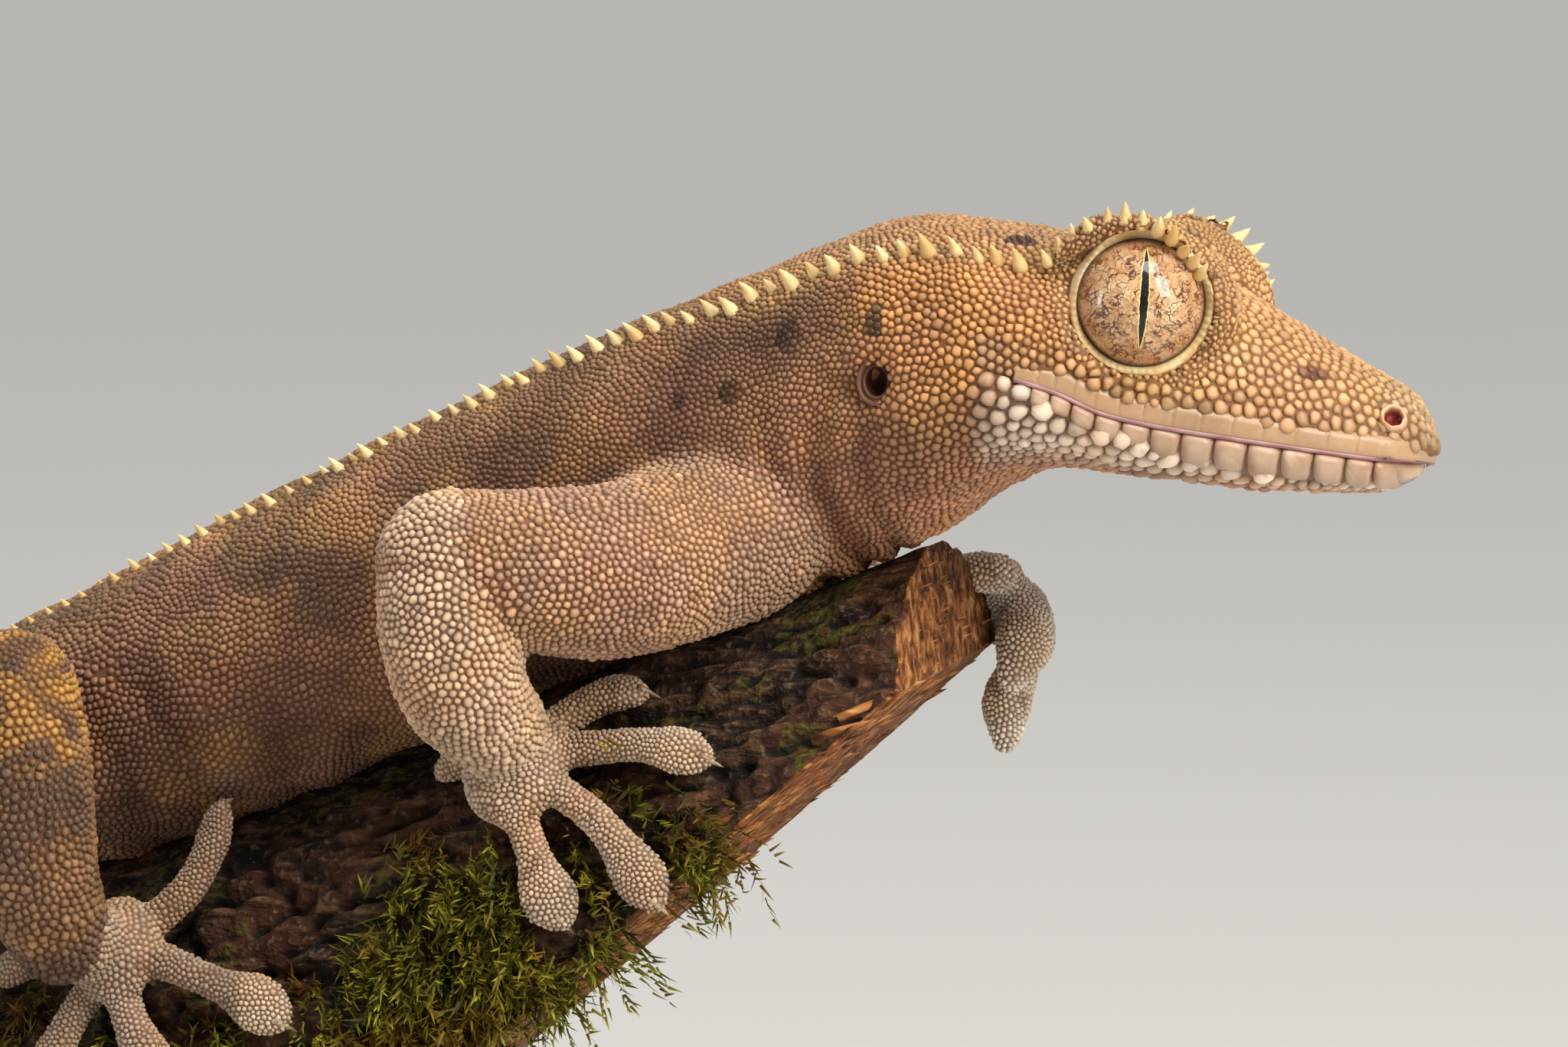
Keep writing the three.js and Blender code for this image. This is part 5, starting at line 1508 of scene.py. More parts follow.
def plain_flesh(name, low, high, scale, rough=0.4, deep=None):
    """Mottled flesh or horn; what lies deep in a pit takes a second, darker colour."""
    def build(nodes, where):
        cloud = nodes.noise(where, scale, 4)
        base = nodes.mix(nodes.fade(cloud, 0.35, 0.65), tone(*low), tone(*high))
        if deep:
            base = nodes.mix(nodes.value("deep"), base, tone(*deep))
        return {
            "Base Color": base, "Roughness": nodes.math("MULTIPLY_ADD", cloud, 0.2, rough),
            "Normal": nodes.bump(cloud, 0.2, 0.00008),
        }
    return material(name, build, Subsurface_Weight=0.08, Subsurface_Scale=0.0005)


def pit_shape(bm, side, place, wide, depth, rim, sides=28):
    """A cup sunk in the skin, with a rolled rim, at a place of the head."""
    at = head_place(side, **place, lift=-SKIN_INSET)
    out = unit(at - head_place(side, **place, lift=-1.5))
    front, up = upright(out)
    turn = np.linspace(0, 2 * np.pi, sides + 1)
    profile_rings = [
        (1.5, -0.5), (1.36, -0.1), (1.16, rim * 0.8), (1.0, rim), (0.9, rim * 0.5), (0.84, min(rim, 0) - 0.12),
        (0.78, -depth * 0.6), (0.5, -depth * 0.9), (0.02, -depth),
    ]

    def oval(reach, height):
        ring = at + (np.cos(turn) * reach * wide[0])[:, None] * front
        return ring + (np.sin(turn) * reach * wide[1])[:, None] * up + height * out
    rings = []
    for reach, height in profile_rings:
        lumps = 1 + 0.05 * np.sin(turn * 7 + place["s"]) * (height > 0)
        rings.append(oval(reach * lumps, height))
    # The cup's back is closed under the skin
    rings.append(at - (depth + 0.3) * out + 0.02 * (rings[-1] - rings[-1].mean(0)))
    rings.append(oval(1.3, -depth - 0.3))
    rings.append(rings[0])
    before = len(bm.verts)
    grid_shape(bm, np.array(rings), closed_ends=False)
    deep = bm.verts.layers.float.get("deep") or bm.verts.layers.float.new("deep")
    bm.verts.ensure_lookup_table()
    for vert in bm.verts[before:]:
        below = -((np.array(vert.co) - at) @ out)
        vert[deep] = float(smoothstep(below, max(-rim, 0) + 0.02, max(-rim, 0) + 0.2))


# Spines


def spine_pattern(sides=9, cuts=4):
    """The points and triangles of one upright cone of unit height, made once for every spine."""
    bm = bmesh.new()
    bmesh.ops.create_cone(bm, segments=sides, radius1=1, radius2=0.03, depth=1, cap_ends=True)
    edges = [e for e in bm.edges if abs(e.verts[0].co.z - e.verts[1].co.z) > 0.5]
    bmesh.ops.subdivide_edges(bm, edges=edges, cuts=cuts)
    bmesh.ops.triangulate(bm, faces=bm.faces)
    points, triangles = pattern_of(bm)
    points[:, 2] += 0.5
    return points, triangles


def spines_mesh(name, spines, sides=9, cuts=4):
    """Joins many pointed scales; each is its base, tip, radius at the root and sweep."""
    pattern, triangles = spine_pattern(sides, cuts)
    share = pattern[:, 2]
    flat = np.maximum(np.hypot(pattern[:, 0], pattern[:, 1]), 1e-6)
    reach = (1 - share) ** 0.66 * (1 + 0.12 * np.sin(np.pi * np.minimum(share * 1.6, 1))) + 0.03
    points = []
    for base, tip, radius, sweep in spines:
        axis = np.asarray(tip, float) - base
        long = np.linalg.norm(axis)
        axis = axis / long
        side = unit(np.cross(axis, [0.3, 0.2, 1.0]))
        other = np.cross(axis, side)
        line = base + axis * (long * share)[:, None] + np.asarray(sweep) * (share ** 2 * long)[:, None]
        scale = radius * reach / flat * (flat > 1e-5)
        points.append(line + side * (pattern[:, 0] * scale)[:, None] + other * (pattern[:, 1] * scale)[:, None])
    steps = (np.arange(len(points)) * len(pattern))[:, None, None]
    return joined_mesh(name, np.concatenate(points), (triangles[None] + steps).reshape(-1, 3))


def crest_shapes():
    """Rows of spines down each side, from behind the eyes over the nape and along the back."""
    spines = []
    rng = np.random.default_rng(31)
    for side in (-1, 1):
        s = CREST_START
        while s < VENT - 1.5:
            grown = float(profile([(19, 0.78), (24, 0.98), (31, 0.9), (40, 0.8), (60, 0.55), (88, 0.36)])(s))
            size = grown * rng.uniform(0.7, 1.2)
            turn = float(crest_turn(s)) + rng.normal(0, 1.6)
            face = 180 - turn if side > 0 else turn
            surface = skin_point(s, face, -SKIN_INSET * 0.7)
            out = unit(skin_point(s, face, 1) - skin_point(s, face, 0))
            back = unit(skin_point(s + 0.5, face) - skin_point(s, face))
            tip = surface + out * size * 0.85 + np.array([0, 0, 0.35]) * size + back * size * 0.15
            spines.append((surface - out * 0.25, tip, 0.12 + size * 0.27, back * 0.2))
            apart = float(profile([(19, 1.0), (40, 1.05), (90, 1.5)])(s))
            s += (0.62 + 0.35 * size) * apart * rng.uniform(0.85, 1.2)
    return spines


def lash_shapes():
    """Spines that fringe the brows over the eyes."""
    spines = []
    rng = np.random.default_rng(37)
    line = Path(BROW)
    for side in (-1, 1):
        count = 12
        for i in range(count):
            far = side > 0
            t = (i + 0.2) / count * (1.0 if far else 0.86)
            here = line.at(t)
            size = (0.36 + 0.34 * math.sin(math.pi * t) + 0.3 * far * t) * rng.uniform(0.75, 1.2)
            forward = 0.5 - 1.3 * t - 0.4 * far
            out = unit(np.array([forward, 0.75, 0.8 - 0.5 * t + 0.2 * rng.normal()]))
            base = body_point(here[0], side * (here[1] + 0.05), here[2] + 0.25)
            tip_place = here + np.array([0, 0, 0.25]) + out * (size + 0.42)
            tip = body_point(tip_place[0], side * tip_place[1], tip_place[2])
            spines.append((base, tip, 0.2 + size * 0.2, np.array([0, 0, 0.2])))
    return spines


def claw_shapes():
    """A small curved claw at the end of each toe."""
    spines = []
    for limb in LIMBS.values():
        for toe in limb["toes"]:
            line = Path(toe)
            tip, before = line.at(1.0), line.at(0.9)
            start = on_branch(before[0], before[1], before[2] + limb["toe_width"] * 0.75)
            end = on_branch(tip[0], tip[1], tip[2] + 0.35)
            way = unit(end - start)
            outward = off_bark(tip[0], tip[1], tip[2])
            spines.append((start + outward * 0.1, end + way * 0.4 - outward * 0.1, 0.2, -outward * 0.12))
    return spines


# The perch


def bark_dip(along, around):
    """How far the bark is sunk under the log's plain surface."""
    along, around = np.broadcast_arrays(along, around)
    where = np.stack([along * 0.35, np.cos(np.radians(around)) * 12, np.sin(np.radians(around)) * 12], -1)
    shape = where.shape[:-1]
    flat = where.reshape(-1, 3)
    ridge = np.abs(ripple(flat, 3.2, 41, 14)) + 0.55 * np.abs(ripple(flat, 1.3, 42, 16))
    crag = np.abs(ripple(flat * [2.6, 1, 1], 2.2, 45, 16))
    fine = ripple(flat * [2.4, 1, 1], 0.8, 43, 18)
    broad = ripple(flat, 9, 44)
    lift = 0.75 * np.clip(ridge, 0, 1.3) + 0.35 * np.clip(crag, 0, 1) + 0.14 * fine + 0.3 * broad
    dip = np.minimum(lift * 1.15 - 1.45, 0).reshape(shape)
    top = (np.mod(around + 180, 360) - 180) / 34
    bed = 1.1 * np.exp(-1.3 * top ** 2) * smoothstep(along, 16, 10) * smoothstep(along, -40, -30)
    return dip * (1 - 0.85 * np.exp(-top ** 2)) + bed


def branch_shape():
    """The log with its bark, cut by the two broken faces and closed."""
    bm = bmesh.new()
    along = np.linspace(BRANCH["rear"], BRANCH["front"], 380)[:, None]
    around = np.linspace(0, 360, 301)[None, :]
    grid_shape(bm, on_branch(along, around, bark_dip(along, around)))
    for place, normal in BREAKS:
        geometry = bm.verts[:] + bm.edges[:] + bm.faces[:]
        cut = bmesh.ops.bisect_plane(
            bm, geom=geometry, dist=1e-5, plane_co=tuple(place), plane_no=tuple(normal), clear_outer=True
        )
        edges = [e for e in cut["geom_cut"] if isinstance(e, bmesh.types.BMEdge)]
        bmesh.ops.holes_fill(bm, edges=edges, sides=0)
    bmesh.ops.triangulate(bm, faces=[f for f in bm.faces if len(f.verts) > 4])
    return bm


def sliver_shapes():
    """Torn fibres that stand up from the broken faces of the branch."""
    spines = []
    rng = np.random.default_rng(51)
    for (middle, normal), tries in zip(BREAKS, (900, 1500)):
        down = np.array([normal[2], 0, -normal[0]])
        for _ in range(tries):
            place = middle + down * rng.uniform(-26, 26) + np.array([0, rng.uniform(-12.6, 12.6), 0])
            gap = place - BRANCH_START
            up, near = gap @ BRANCH_UP / (BRANCH["half_height"] - 0.5), gap[1] / (BRANCH["half_width"] - 0.5)
            if math.hypot(up, near) > 1 or not in_branch(place[None] - normal * 0.8, 0.3)[0]:
                continue
            long = rng.uniform(1.2, 4.2)
            way = unit(BRANCH_AXIS + 0.22 * rng.normal(size=3))
            thick = rng.uniform(0.1, 0.42)
            tip = place + way * rng.uniform(0.05, 0.75) ** 1.5
            spines.append((place - BRANCH_AXIS * long, tip, thick, np.zeros(3)))
    return spines


def moss_piece(seed, low, high, most):
    """Tufts of moss between two turns round the log, as one mesh: curved stems thick with fine leaves."""
    rng = np.random.default_rng(seed)
    along, around = rng.uniform(-58, 27, 3000), rng.uniform(low, high, 3000)
    place = np.stack([along, around * 0.23, 0 * along], -1)
    bare = smoothstep(around, 88, 44) + smoothstep(around, 220, 300)
    cover = 0.8 * ripple(place, 13, 62) + 0.5 * ripple(place, 5, 63) + 1.15 - 1.7 * bare
    middle = on_branch(along, around, bark_dip(along, around) - 0.2)
    sprouts = cover > rng.uniform(0, 1, len(along))
    grown = np.flatnonzero(sprouts & in_branch(middle, -0.3))[:most]
    middle, along, around = middle[grown], along[grown], around[grown]
    out = off_bark(along, around)
    lean = unit(out + 0.45 * rng.normal(size=out.shape) + np.array([0.6, -0.1, -0.35]))
    # Stems of each tuft, and leaves up each stem
    stems, leaves = 7, 12
    share = np.linspace(0, 1, leaves)
    shape = (len(grown), stems)
    root = middle[:, None] + 0.55 * rng.normal(size=(*shape, 3))
    stem = unit(lean[:, None] + 0.4 * rng.normal(size=(*shape, 3)))
    long = rng.uniform(1.3, 3.1, shape) * rng.uniform(0.7, 1.15, (len(grown), 1))
    start = root[:, :, None] + stem[:, :, None] * (long[..., None] * share)[..., None]
    start = start + (0.5 * long[..., None] * share ** 2)[..., None] * np.array([0.1, 0, -1.0])
    grow = unit(stem[:, :, None] * (0.9 + 0.8 * share)[:, None] + 0.42 * rng.normal(size=start.shape))
    side = unit(np.cross(grow, rng.normal(size=grow.shape)))
    rise = np.cross(side, grow)
    size = rng.uniform(0.75, 1.35, start.shape[:3]) * (1 - 0.3 * share)
    blade = np.array([[-0.5, 0, 0], [0.5, 0, 0], [-0.36, 0.5, 0.1], [0.36, 0.5, 0.1], [0, 1, 0.36]])
    clear = nearest_limb((start + size[..., None] * grow).reshape(-1, 3))[1].reshape(size.shape) > 0.8
    reach = blade[:, 1:2] * grow[..., None, :] + 0.5 * blade[:, 2:3] * rise[..., None, :]
    points = start[..., None, :] + 0.15 * blade[:, 0:1] * side[..., None, :] + size[..., None, None] * reach
    tint = rng.random((len(grown), 1, 1))
    # Painted shade: each leaf is darker the lower it sits on its stem and towards its own foot, deep in the
    # tuft; each tuft's tone also differs at random
    shade = (0.02 + 0.5 * share ** 1.5 + 0.42 * tint + 0 * long[..., None])[..., None]
    shade = np.clip(shade * np.array([0.5, 0.5, 0.8, 0.8, 1.15]), 0, 1)[clear]
    points = points[clear]
    faces = np.array([[0, 1, 3], [0, 3, 2], [2, 3, 4]])
    triangles = (faces + np.arange(len(points))[:, None, None] * 5).reshape(-1, 3)
    return joined_mesh("moss", points.reshape(-1, 3), triangles, None, {"shade": shade.ravel()})


def torn_fibre():
    """Bare torn wood, streaked along the branch, shared by its broken faces and its splinters."""
    def fill(nodes, start):
        long = nodes.noise(start["Where"], 1300, 8, 0.5)
        colour = nodes.steps(long, [
            (0.32, tone(60, 32, 14)), (0.46, tone(122, 72, 34)), (0.58, tone(176, 116, 62)),
            (0.72, tone(214, 164, 104)),
        ])
        return {"Colour": colour, "Height": long}
    outputs = [("Colour", "NodeSocketColor"), ("Height", "NodeSocketFloat")]
    return group("torn_fibre", [("Where", "NodeSocketVector", None)], outputs, fill)


def along_branch(nodes, where):
    """Object coordinates turned to the branch and drawn out along it."""
    return nodes.add(
        "ShaderNodeMapping", {"Vector": where, "Rotation": (0, SLOPE, 0), "Scale": (0.2, 1, 1)}
    ).outputs[0]


def bark_material():
    def build(nodes, where):
        turned = along_branch(nodes, where)
        fibre = nodes.noise(turned, 1500, 10, 0.5)
        crumb = nodes.noise(where, 2600, 6)
        patch = nodes.noise(where, 150, 8)
        base = nodes.steps(fibre, [
            (0.38, tone(14, 9, 7)), (0.48, tone(40, 27, 18)), (0.56, tone(70, 49, 33)),
            (0.68, tone(112, 82, 58)),
        ])
        base = nodes.tint(base, (96, 54, 30), nodes.fade(patch, 0.50, 0.56), 0.4)
        base = nodes.mix(nodes.fade(crumb, 0.54, 0.66, 0.6), base, tone(118, 96, 74))
        green = nodes.fade(nodes.noise(where, 210, 9, 0.5), 0.56, 0.60)
        green = nodes.math("MULTIPLY", green, nodes.fade(crumb, 0.42, 0.55, 0.7))
        base = nodes.mix(green, base, tone(84, 86, 24))
        # Painted shade: the hollows and cracks of the bark are darkened nearly to black
        edge = nodes.add("ShaderNodeNewGeometry").outputs["Pointiness"]
        painted_crack_shade = nodes.steps(edge, [(0.44, (0.9, 0.9, 0.9)), (0.51, (0, 0, 0))])
        base = nodes.mix(painted_crack_shade, base, tone(16, 10, 8))
        # The broken faces show torn wood
        torn = nodes.add("ShaderNodeGroup", {"Where": turned}, node_tree=torn_fibre())
        mask = 0.0
        for place, normal in BREAKS:
            depth = nodes.vector("DOT_PRODUCT", where, tuple(normal), "Value")
            past = nodes.math("GREATER_THAN", depth, (place @ normal - 0.12) * MM)
            mask = nodes.math("MAXIMUM", past, mask)
        base = nodes.mix(mask, base, torn.outputs["Colour"])
        height = nodes.math("ADD", fibre, nodes.math("MULTIPLY", crumb, 0.6))
        return {
            "Base Color": base, "Roughness": nodes.math("MULTIPLY_ADD", fibre, 0.2, 0.72),
            "Normal": nodes.bump(height, 1.0, 0.0007),
        }
    return material("bark", build, Specular_IOR_Level=0.25)


def sliver_material():
    def build(nodes, where):
        torn = nodes.add("ShaderNodeGroup", {"Where": along_branch(nodes, where)}, node_tree=torn_fibre())
        return {
            "Base Color": torn.outputs["Colour"],
            "Roughness": nodes.math("MULTIPLY_ADD", torn.outputs["Height"], 0.2, 0.6),
            "Normal": nodes.bump(torn.outputs["Height"], 0.4, 0.0002),
        }
    return material("torn_wood", build, Specular_IOR_Level=0.25)


def moss_material():
    def build(nodes, where):
        shade = nodes.value("shade")
        base = nodes.steps(shade, [
            (0.0, tone(38, 34, 10)), (0.35, tone(92, 88, 16)), (1.0, tone(186, 182, 42)),
        ])
        patch = nodes.fade(nodes.noise(where, 190, 3), 0.42, 0.62)
        base = nodes.tint(base, (134, 90, 28), patch, 0.6)
        return {"Base Color": base, "Roughness": nodes.math("MULTIPLY_ADD", shade, 0.1, 0.6)}
    return material("moss", build, Specular_IOR_Level=0.25, Subsurface_Weight=0.05, Subsurface_Scale=0.001)


def stand_material(name, low, high):
    def build(nodes, where):
        brushed = nodes.add("ShaderNodeMapping", {"Vector": where, "Scale": (0.15, 1, 1)}).outputs[0]
        grain = nodes.noise(brushed, 900, 4)
        base = nodes.mix(grain, tone(*low), tone(*high))
        return {
            "Base Color": base, "Roughness": nodes.math("MULTIPLY_ADD", grain, 0.18, 0.32),
            "Normal": nodes.bump(grain, 0.08, 0.0001),
        }
    return material(name, build)


def base_shape():
    """The stand's base: a plate with rounded corners and softened edges."""
    low, high = (np.array(corner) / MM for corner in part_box("stand_base"))
    bm = bmesh.new()
    made = bmesh.ops.create_cube(bm, size=1)
    for vert in made["verts"]:
        vert.co = Vector(low + (np.array(vert.co) + 0.5) * (high - low))
    uprights = [e for e in bm.edges if abs(e.verts[0].co.z - e.verts[1].co.z) > 1]
    bmesh.ops.bevel(bm, geom=uprights, offset=10, segments=14, profile=0.5, affect="EDGES", material=-1)
    level = [e for e in bm.edges if abs(e.verts[0].co.z - e.verts[1].co.z) < 0.01 and len(e.link_faces) == 2
             and abs(e.link_faces[0].normal.z - e.link_faces[1].normal.z) > 0.5]
    bmesh.ops.bevel(bm, geom=level, offset=1.0, segments=4, profile=0.5, affect="EDGES", material=-1)
    return bm


def rod_shape(node):
    """A round rod with softened rims, as wide and as tall as the solid's."""
    low, high = (np.array(corner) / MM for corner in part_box(node))
    bm = bmesh.new()
    made = bmesh.ops.create_cone(bm, segments=40, radius1=1, radius2=1, depth=1, cap_ends=True)
    for vert in made["verts"]:
        vert.co = Vector((low + high) / 2 + np.array(vert.co) * (high - low) / [2, 2, 1])
    rims = [e for e in bm.edges if abs(e.verts[0].co.z - e.verts[1].co.z) < 0.01]
    bmesh.ops.bevel(bm, geom=rims, offset=0.25, segments=2, profile=0.5, affect="EDGES", material=-1)
    return bm


# Operators


class GeckoSizes(bpy.types.PropertyGroup):
    """Sizes of the animal that a user may change."""

    skin_detail: FloatProperty(
        name="Skin detail", description="Size of the skin's faces", default=0.32 * MM, min=0.2 * MM,
        max=1 * MM, unit="LENGTH", precision=5,
    )
    scale_size: FloatProperty(
        name="Scale size", description="How large the scales are against their true size", default=1.0,
        min=0.7, max=2.0,
    )


class StudioSettings(bpy.types.PropertyGroup):
    """Light and ground of the studio."""

    floor_colour: FloatVectorProperty(
        name="Floor", description="Colour of the floor and backdrop", subtype="COLOR", size=3,
        default=tuple(linear(214, 211, 206)), min=0, max=1,
    )
    key_power: FloatProperty(
        name="Key light", description="Power of the main light", default=1.6, min=0, unit="POWER"
    )
    sky_power: FloatProperty(
        name="Sky", description="Strength of the even light from above", default=1.6, min=0
    )
    fill_power: FloatProperty(
        name="Fill light", description="Power of the soft light", default=0.5, min=0, unit="POWER"
    )


# The steps


class GECKO_OT_skin(bpy.types.Operator):
    """Fuse the flesh into one skin"""

    bl_idname = "gecko.skin"
    bl_label = "Skin"

    def execute(self, context):
        skin = build_skin(context.scene.gecko_sizes.skin_detail / MM)
        piece = bpy.data.objects.new("skin", skin)
        context.scene.collection.objects.link(piece)
        context.view_layer.objects.active = piece
        piece.select_set(True)
        bpy.ops.object.mode_set(mode="EDIT")
        bpy.ops.mesh.select_all(action="SELECT")
        bpy.ops.uv.smart_project(angle_limit=math.radians(66), island_margin=0.002)
        bpy.ops.object.mode_set(mode="OBJECT")
        skin.uv_layers[0].name = "OFBake"
        coat_attribute_of(skin)
        work["skin"] = skin.copy()
        work["tree"] = BVHTree.FromPolygons(*(part.tolist() for part in mesh_arrays(skin)))
        bpy.data.objects.remove(piece)
        hide = skin_material()
        front = rows_of(skin.polygons, "center", 3)[:, 0] > 10
        before = FLESH[:4] + [node for node in FLESH if "arm" in node or "hand" in node]
        behind = [node for node in FLESH if node not in before]
        for name, chosen, nodes in (("skin_front", front, before), ("skin_rear", ~front, behind)):
            part = skin.copy()
            bm = bmesh.new()
            bm.from_mesh(part)
            bm.faces.ensure_lookup_table()
            gone = [bm.faces[int(i)] for i in np.flatnonzero(~chosen)]
            bmesh.ops.delete(bm, geom=gone, context="FACES")
            bm.to_mesh(part)
            bm.free()
            placed(name, part, hide, nodes)
        return {"FINISHED"}


class GECKO_OT_scales(bpy.types.Operator):
    """Cover the skin with scales"""

    bl_idname = "gecko.scales"
    bl_label = "Scales"

    def execute(self, context):
        coat = scale_material()
        size = context.scene.gecko_sizes.scale_size
        for number, (points, triangles, uvs, values) in enumerate(build_scales(work["skin"], size)):
            mesh = joined_mesh(f"scales_{number:02d}", points, triangles, uvs, values)
            placed(f"scales_{number:02d}", mesh, coat)
        return {"FINISHED"}


class GECKO_OT_eyes(bpy.types.Operator):
    """Make both eyes and their lids"""

    bl_idname = "gecko.eyes"
    bl_label = "Eyes"

    def execute(self, context):
        lid = plain_flesh("eyelid", (214, 176, 116), (238, 214, 164), 900)
        for side, name in ((-1, "right"), (1, "left")):
            placed(f"eye_{name}_ball", from_bmesh("eye", eye_shape(side)), iris_material(f"iris_{name}", side),
                   [f"eye_{name}"])
            placed(f"eyelid_{name}", from_bmesh("lid", lid_shape(side)), lid)
        return {"FINISHED"}


class GECKO_OT_mouth(bpy.types.Operator):
    """Make the lips, the plates under them and the line of the mouth"""

    bl_idname = "gecko.mouth"
    bl_label = "Mouth"

    def execute(self, context):
        upper = lip_material("upper_lip", (186, 150, 114), (168, 128, 90))
        lower = lip_material("lower_lip", (212, 184, 154), (192, 156, 124), rust=True)
        lip = from_bmesh("lip", upper_lip_shape())
        coat_attribute_of(lip)
        placed("upper_lip", lip, upper)
        placed("lower_lip_plates", joined_shapes("labials", labial_shapes()), lower)
        gum = plain_flesh("mouth_line", (150, 104, 104), (184, 140, 138), 700, 0.3)
        placed("mouth_line", from_bmesh("gum", gum_shape()), gum)
        return {"FINISHED"}


class GECKO_OT_nostrils(bpy.types.Operator):
    """Make the nostrils and the ears"""

    bl_idname = "gecko.nostrils"
    bl_label = "Nostrils and ears"

    def execute(self, context):
        rose = plain_flesh("nostril", (200, 152, 108), (222, 186, 148), 1400, 0.4, (126, 30, 20))
        # Painted shade: the ear's pit is dark brown and turns near black deep inside the hole
        dark = plain_flesh("ear", (88, 52, 34), (116, 74, 50), 900, 0.5, (58, 12, 8))
        for name, flesh, place, wide, depth, rim in (
            ("nostrils", rose, NOSTRIL, (0.5, 0.56), 0.45, 0.16), ("ears", dark, EAR, (0.64, 0.8), 1.1, -0.45),
        ):
            bm = bmesh.new()
            for side in (-1, 1):
                pit_shape(bm, side, place, wide, depth, rim)
            placed(name, from_bmesh(name, bm), flesh)
        return {"FINISHED"}


class GECKO_OT_spines(bpy.types.Operator):
    """Make the crests, the brow spines and the claws"""

    bl_idname = "gecko.spines"
    bl_label = "Spines and claws"

    def execute(self, context):
        pale = plain_flesh("spine", (214, 172, 104), (244, 220, 160), 500, 0.35)
        horn = plain_flesh("claw", (120, 92, 62), (206, 184, 148), 1200, 0.25)
        placed("crest_spines", spines_mesh("crest", crest_shapes()), pale)
        placed("brow_spines", spines_mesh("lashes", lash_shapes()), pale)
        placed("claws", spines_mesh("claws", claw_shapes()), horn)
        return {"FINISHED"}


class GECKO_OT_perch(bpy.types.Operator):
    """Make the branch, its torn ends and its moss"""

    bl_idname = "gecko.perch"
    bl_label = "Branch and moss"

    def execute(self, context):
        placed("branch", from_bmesh("branch", branch_shape()), bark_material(), ["perch_branch"])
        placed("branch_fibres", spines_mesh("slivers", sliver_shapes(), 6, 3), sliver_material())
        placed("branch_moss", moss_piece(61, 34, 140, 780), moss_material())
        placed("branch_moss_below", moss_piece(67, 120, 235, 360), moss_material())
        return {"FINISHED"}


class GECKO_OT_stand(bpy.types.Operator):
    """Make the base and the rods"""

    bl_idname = "gecko.stand"
    bl_label = "Stand"

    def execute(self, context):
        plate = stand_material("stand_plate", (44, 42, 40), (60, 57, 54))
        steel = stand_material("stand_rod", (120, 118, 114), (150, 148, 144))
        base = placed("base_plate", from_bmesh("base", base_shape()), plate, ["stand_base"])
        base.data.polygons.foreach_set("use_smooth", np.zeros(len(base.data.polygons), bool))
        for node, name in (("stand_rod_front", "rod_front"), ("stand_rod_rear", "rod_rear")):
            placed(name, from_bmesh(name, rod_shape(node)), steel, [node])
        return {"FINISHED"}


CAMERA = {
    "azimuth": 15.0, "elevation": 6.0, "distance": 0.280, "aim": (0.028, 0.0, 0.068), "lens": 132.89,
}


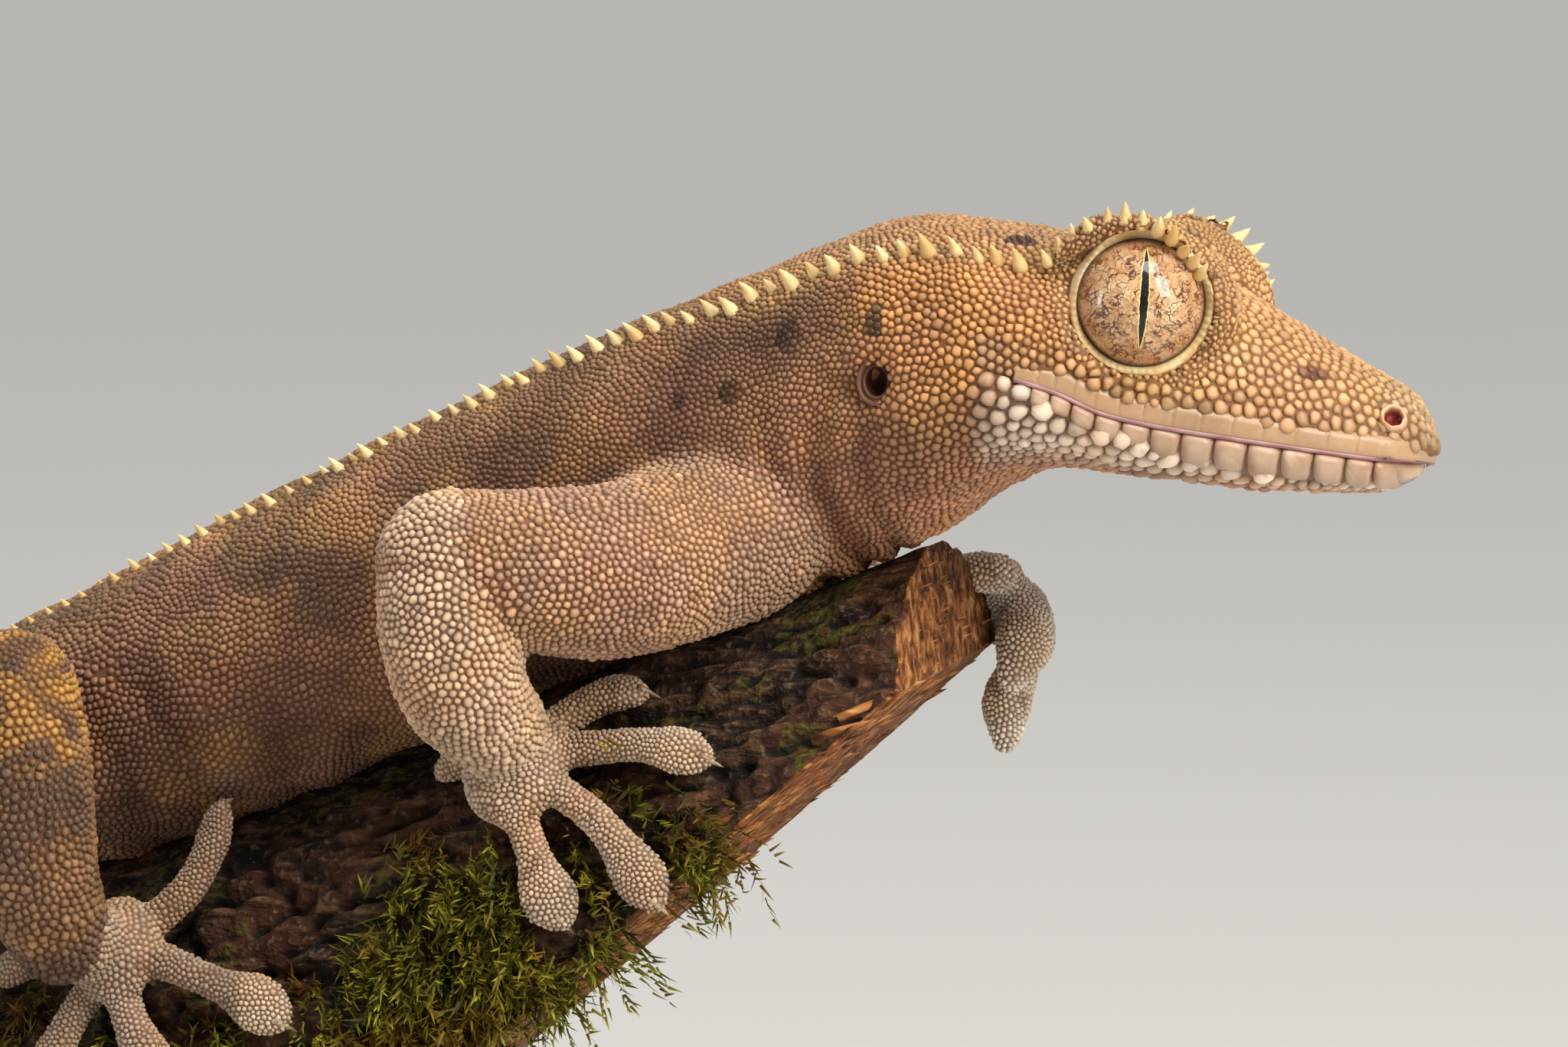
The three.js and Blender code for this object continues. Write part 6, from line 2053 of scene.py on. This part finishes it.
class GECKO_OT_studio(bpy.types.Operator):
    """Set up the camera, the floor, the backdrop and the lights"""

    bl_idname = "gecko.studio"
    bl_label = "Studio"

    def execute(self, context):
        scene = context.scene
        settings = scene.gecko_studio
        turn, rise = math.radians(CAMERA["azimuth"]), math.radians(CAMERA["elevation"])
        back = Vector((math.sin(turn) * math.cos(rise), -math.cos(turn) * math.cos(rise), math.sin(rise)))
        camera = bpy.data.objects.new("camera", bpy.data.cameras.new("camera"))
        scene.collection.objects.link(camera)
        camera.location = Vector(CAMERA["aim"]) + back * CAMERA["distance"]
        camera.rotation_euler = back.to_track_quat("Z", "Y").to_euler()
        camera.data.lens = CAMERA["lens"]
        camera.data.sensor_width = 36
        camera.data.clip_start = 0.01
        camera.data.dof.use_dof = False
        scene.camera = camera

        def paper(nodes, where):
            tooth = nodes.noise(where, 60, 4)
            colour = nodes.tint((*settings.floor_colour, 1), (206, 203, 198), tooth, 0.12)
            return {"Base Color": colour, "Roughness": nodes.math("MULTIPLY_ADD", tooth, 0.1, 0.8)}
        bm = bmesh.new()
        made = bmesh.ops.create_grid(bm, x_segments=1, y_segments=1, size=1)
        for vert in made["verts"]:
            vert.co = Vector((vert.co.x * 40, vert.co.y * 40, 0))
        mesh = bpy.data.meshes.new("floor")
        bm.to_mesh(mesh)
        bm.free()
        mesh.materials.append(material("floor", paper, Specular_IOR_Level=0.2))
        floor = bpy.data.objects.new("floor", mesh)
        scene.collection.objects.link(floor)

        aim = Vector((0.02, 0, 0.06))
        for name, place, wide, tall, power, colour in (
            ("key", (0.34, -0.20, 0.28), 0.13, 0.24, settings.key_power, (1.0, 0.96, 0.90)),
            ("side", (-0.42, -0.28, 0.14), 0.08, 0.22, settings.fill_power, (0.97, 0.98, 1.0)),
            ("top", (-0.05, 0.10, 0.50), 0.30, 0.30, settings.fill_power, (1, 1, 1)),
        ):
            lamp = bpy.data.lights.new(name, "AREA")
            lamp.shape = "RECTANGLE"
            lamp.size = wide
            lamp.size_y = tall
            lamp.energy = power
            lamp.color = colour
            light = bpy.data.objects.new(name, lamp)
            light.location = place
            light.rotation_euler = (Vector(place) - aim).to_track_quat("Z", "Y").to_euler()
            scene.collection.objects.link(light)
        sun = bpy.data.objects.new("sky", bpy.data.lights.new("sky", "SUN"))
        sun.data.energy = settings.sky_power
        sun.data.angle = math.radians(24)
        sun.rotation_euler = Vector((0.35, -0.30, 1.0)).to_track_quat("Z", "Y").to_euler()
        scene.collection.objects.link(sun)
        world = bpy.data.worlds.new("studio")
        world.use_nodes = True
        world.node_tree.nodes["Background"].inputs[0].default_value = (0.82, 0.83, 0.85, 1)
        world.node_tree.nodes["Background"].inputs[1].default_value = 0.32
        scene.world = world
        scene.view_settings.view_transform = "Standard"
        return {"FINISHED"}


STEPS = (
    GECKO_OT_studio, GECKO_OT_skin, GECKO_OT_scales, GECKO_OT_eyes, GECKO_OT_mouth, GECKO_OT_nostrils,
    GECKO_OT_spines, GECKO_OT_perch, GECKO_OT_stand,
)


class GECKO_PT_panel(bpy.types.Panel):
    """Lists the sizes and the steps"""

    bl_label = "Gecko"
    bl_idname = "GECKO_PT_panel"
    bl_space_type = "VIEW_3D"
    bl_region_type = "UI"
    bl_category = "Gecko"

    def draw(self, context):
        for key in ("skin_detail", "scale_size"):
            self.layout.prop(context.scene.gecko_sizes, key)
        for key in ("floor_colour", "key_power", "sky_power", "fill_power"):
            self.layout.prop(context.scene.gecko_studio, key)
        for step in STEPS:
            self.layout.operator(step.bl_idname)


CLASSES = (GeckoSizes, StudioSettings) + STEPS + (GECKO_PT_panel,)


def register():
    for cls in CLASSES:
        bpy.utils.register_class(cls)
    bpy.types.Scene.gecko_sizes = PointerProperty(type=GeckoSizes)
    bpy.types.Scene.gecko_studio = PointerProperty(type=StudioSettings)


def unregister():
    del bpy.types.Scene.gecko_studio
    del bpy.types.Scene.gecko_sizes
    for cls in reversed(CLASSES):
        bpy.utils.unregister_class(cls)


def main():
    register()
    for step in STEPS:
        family, name = step.bl_idname.split(".")
        getattr(getattr(bpy.ops, family), name)()


if __name__ == "__main__":
    main()
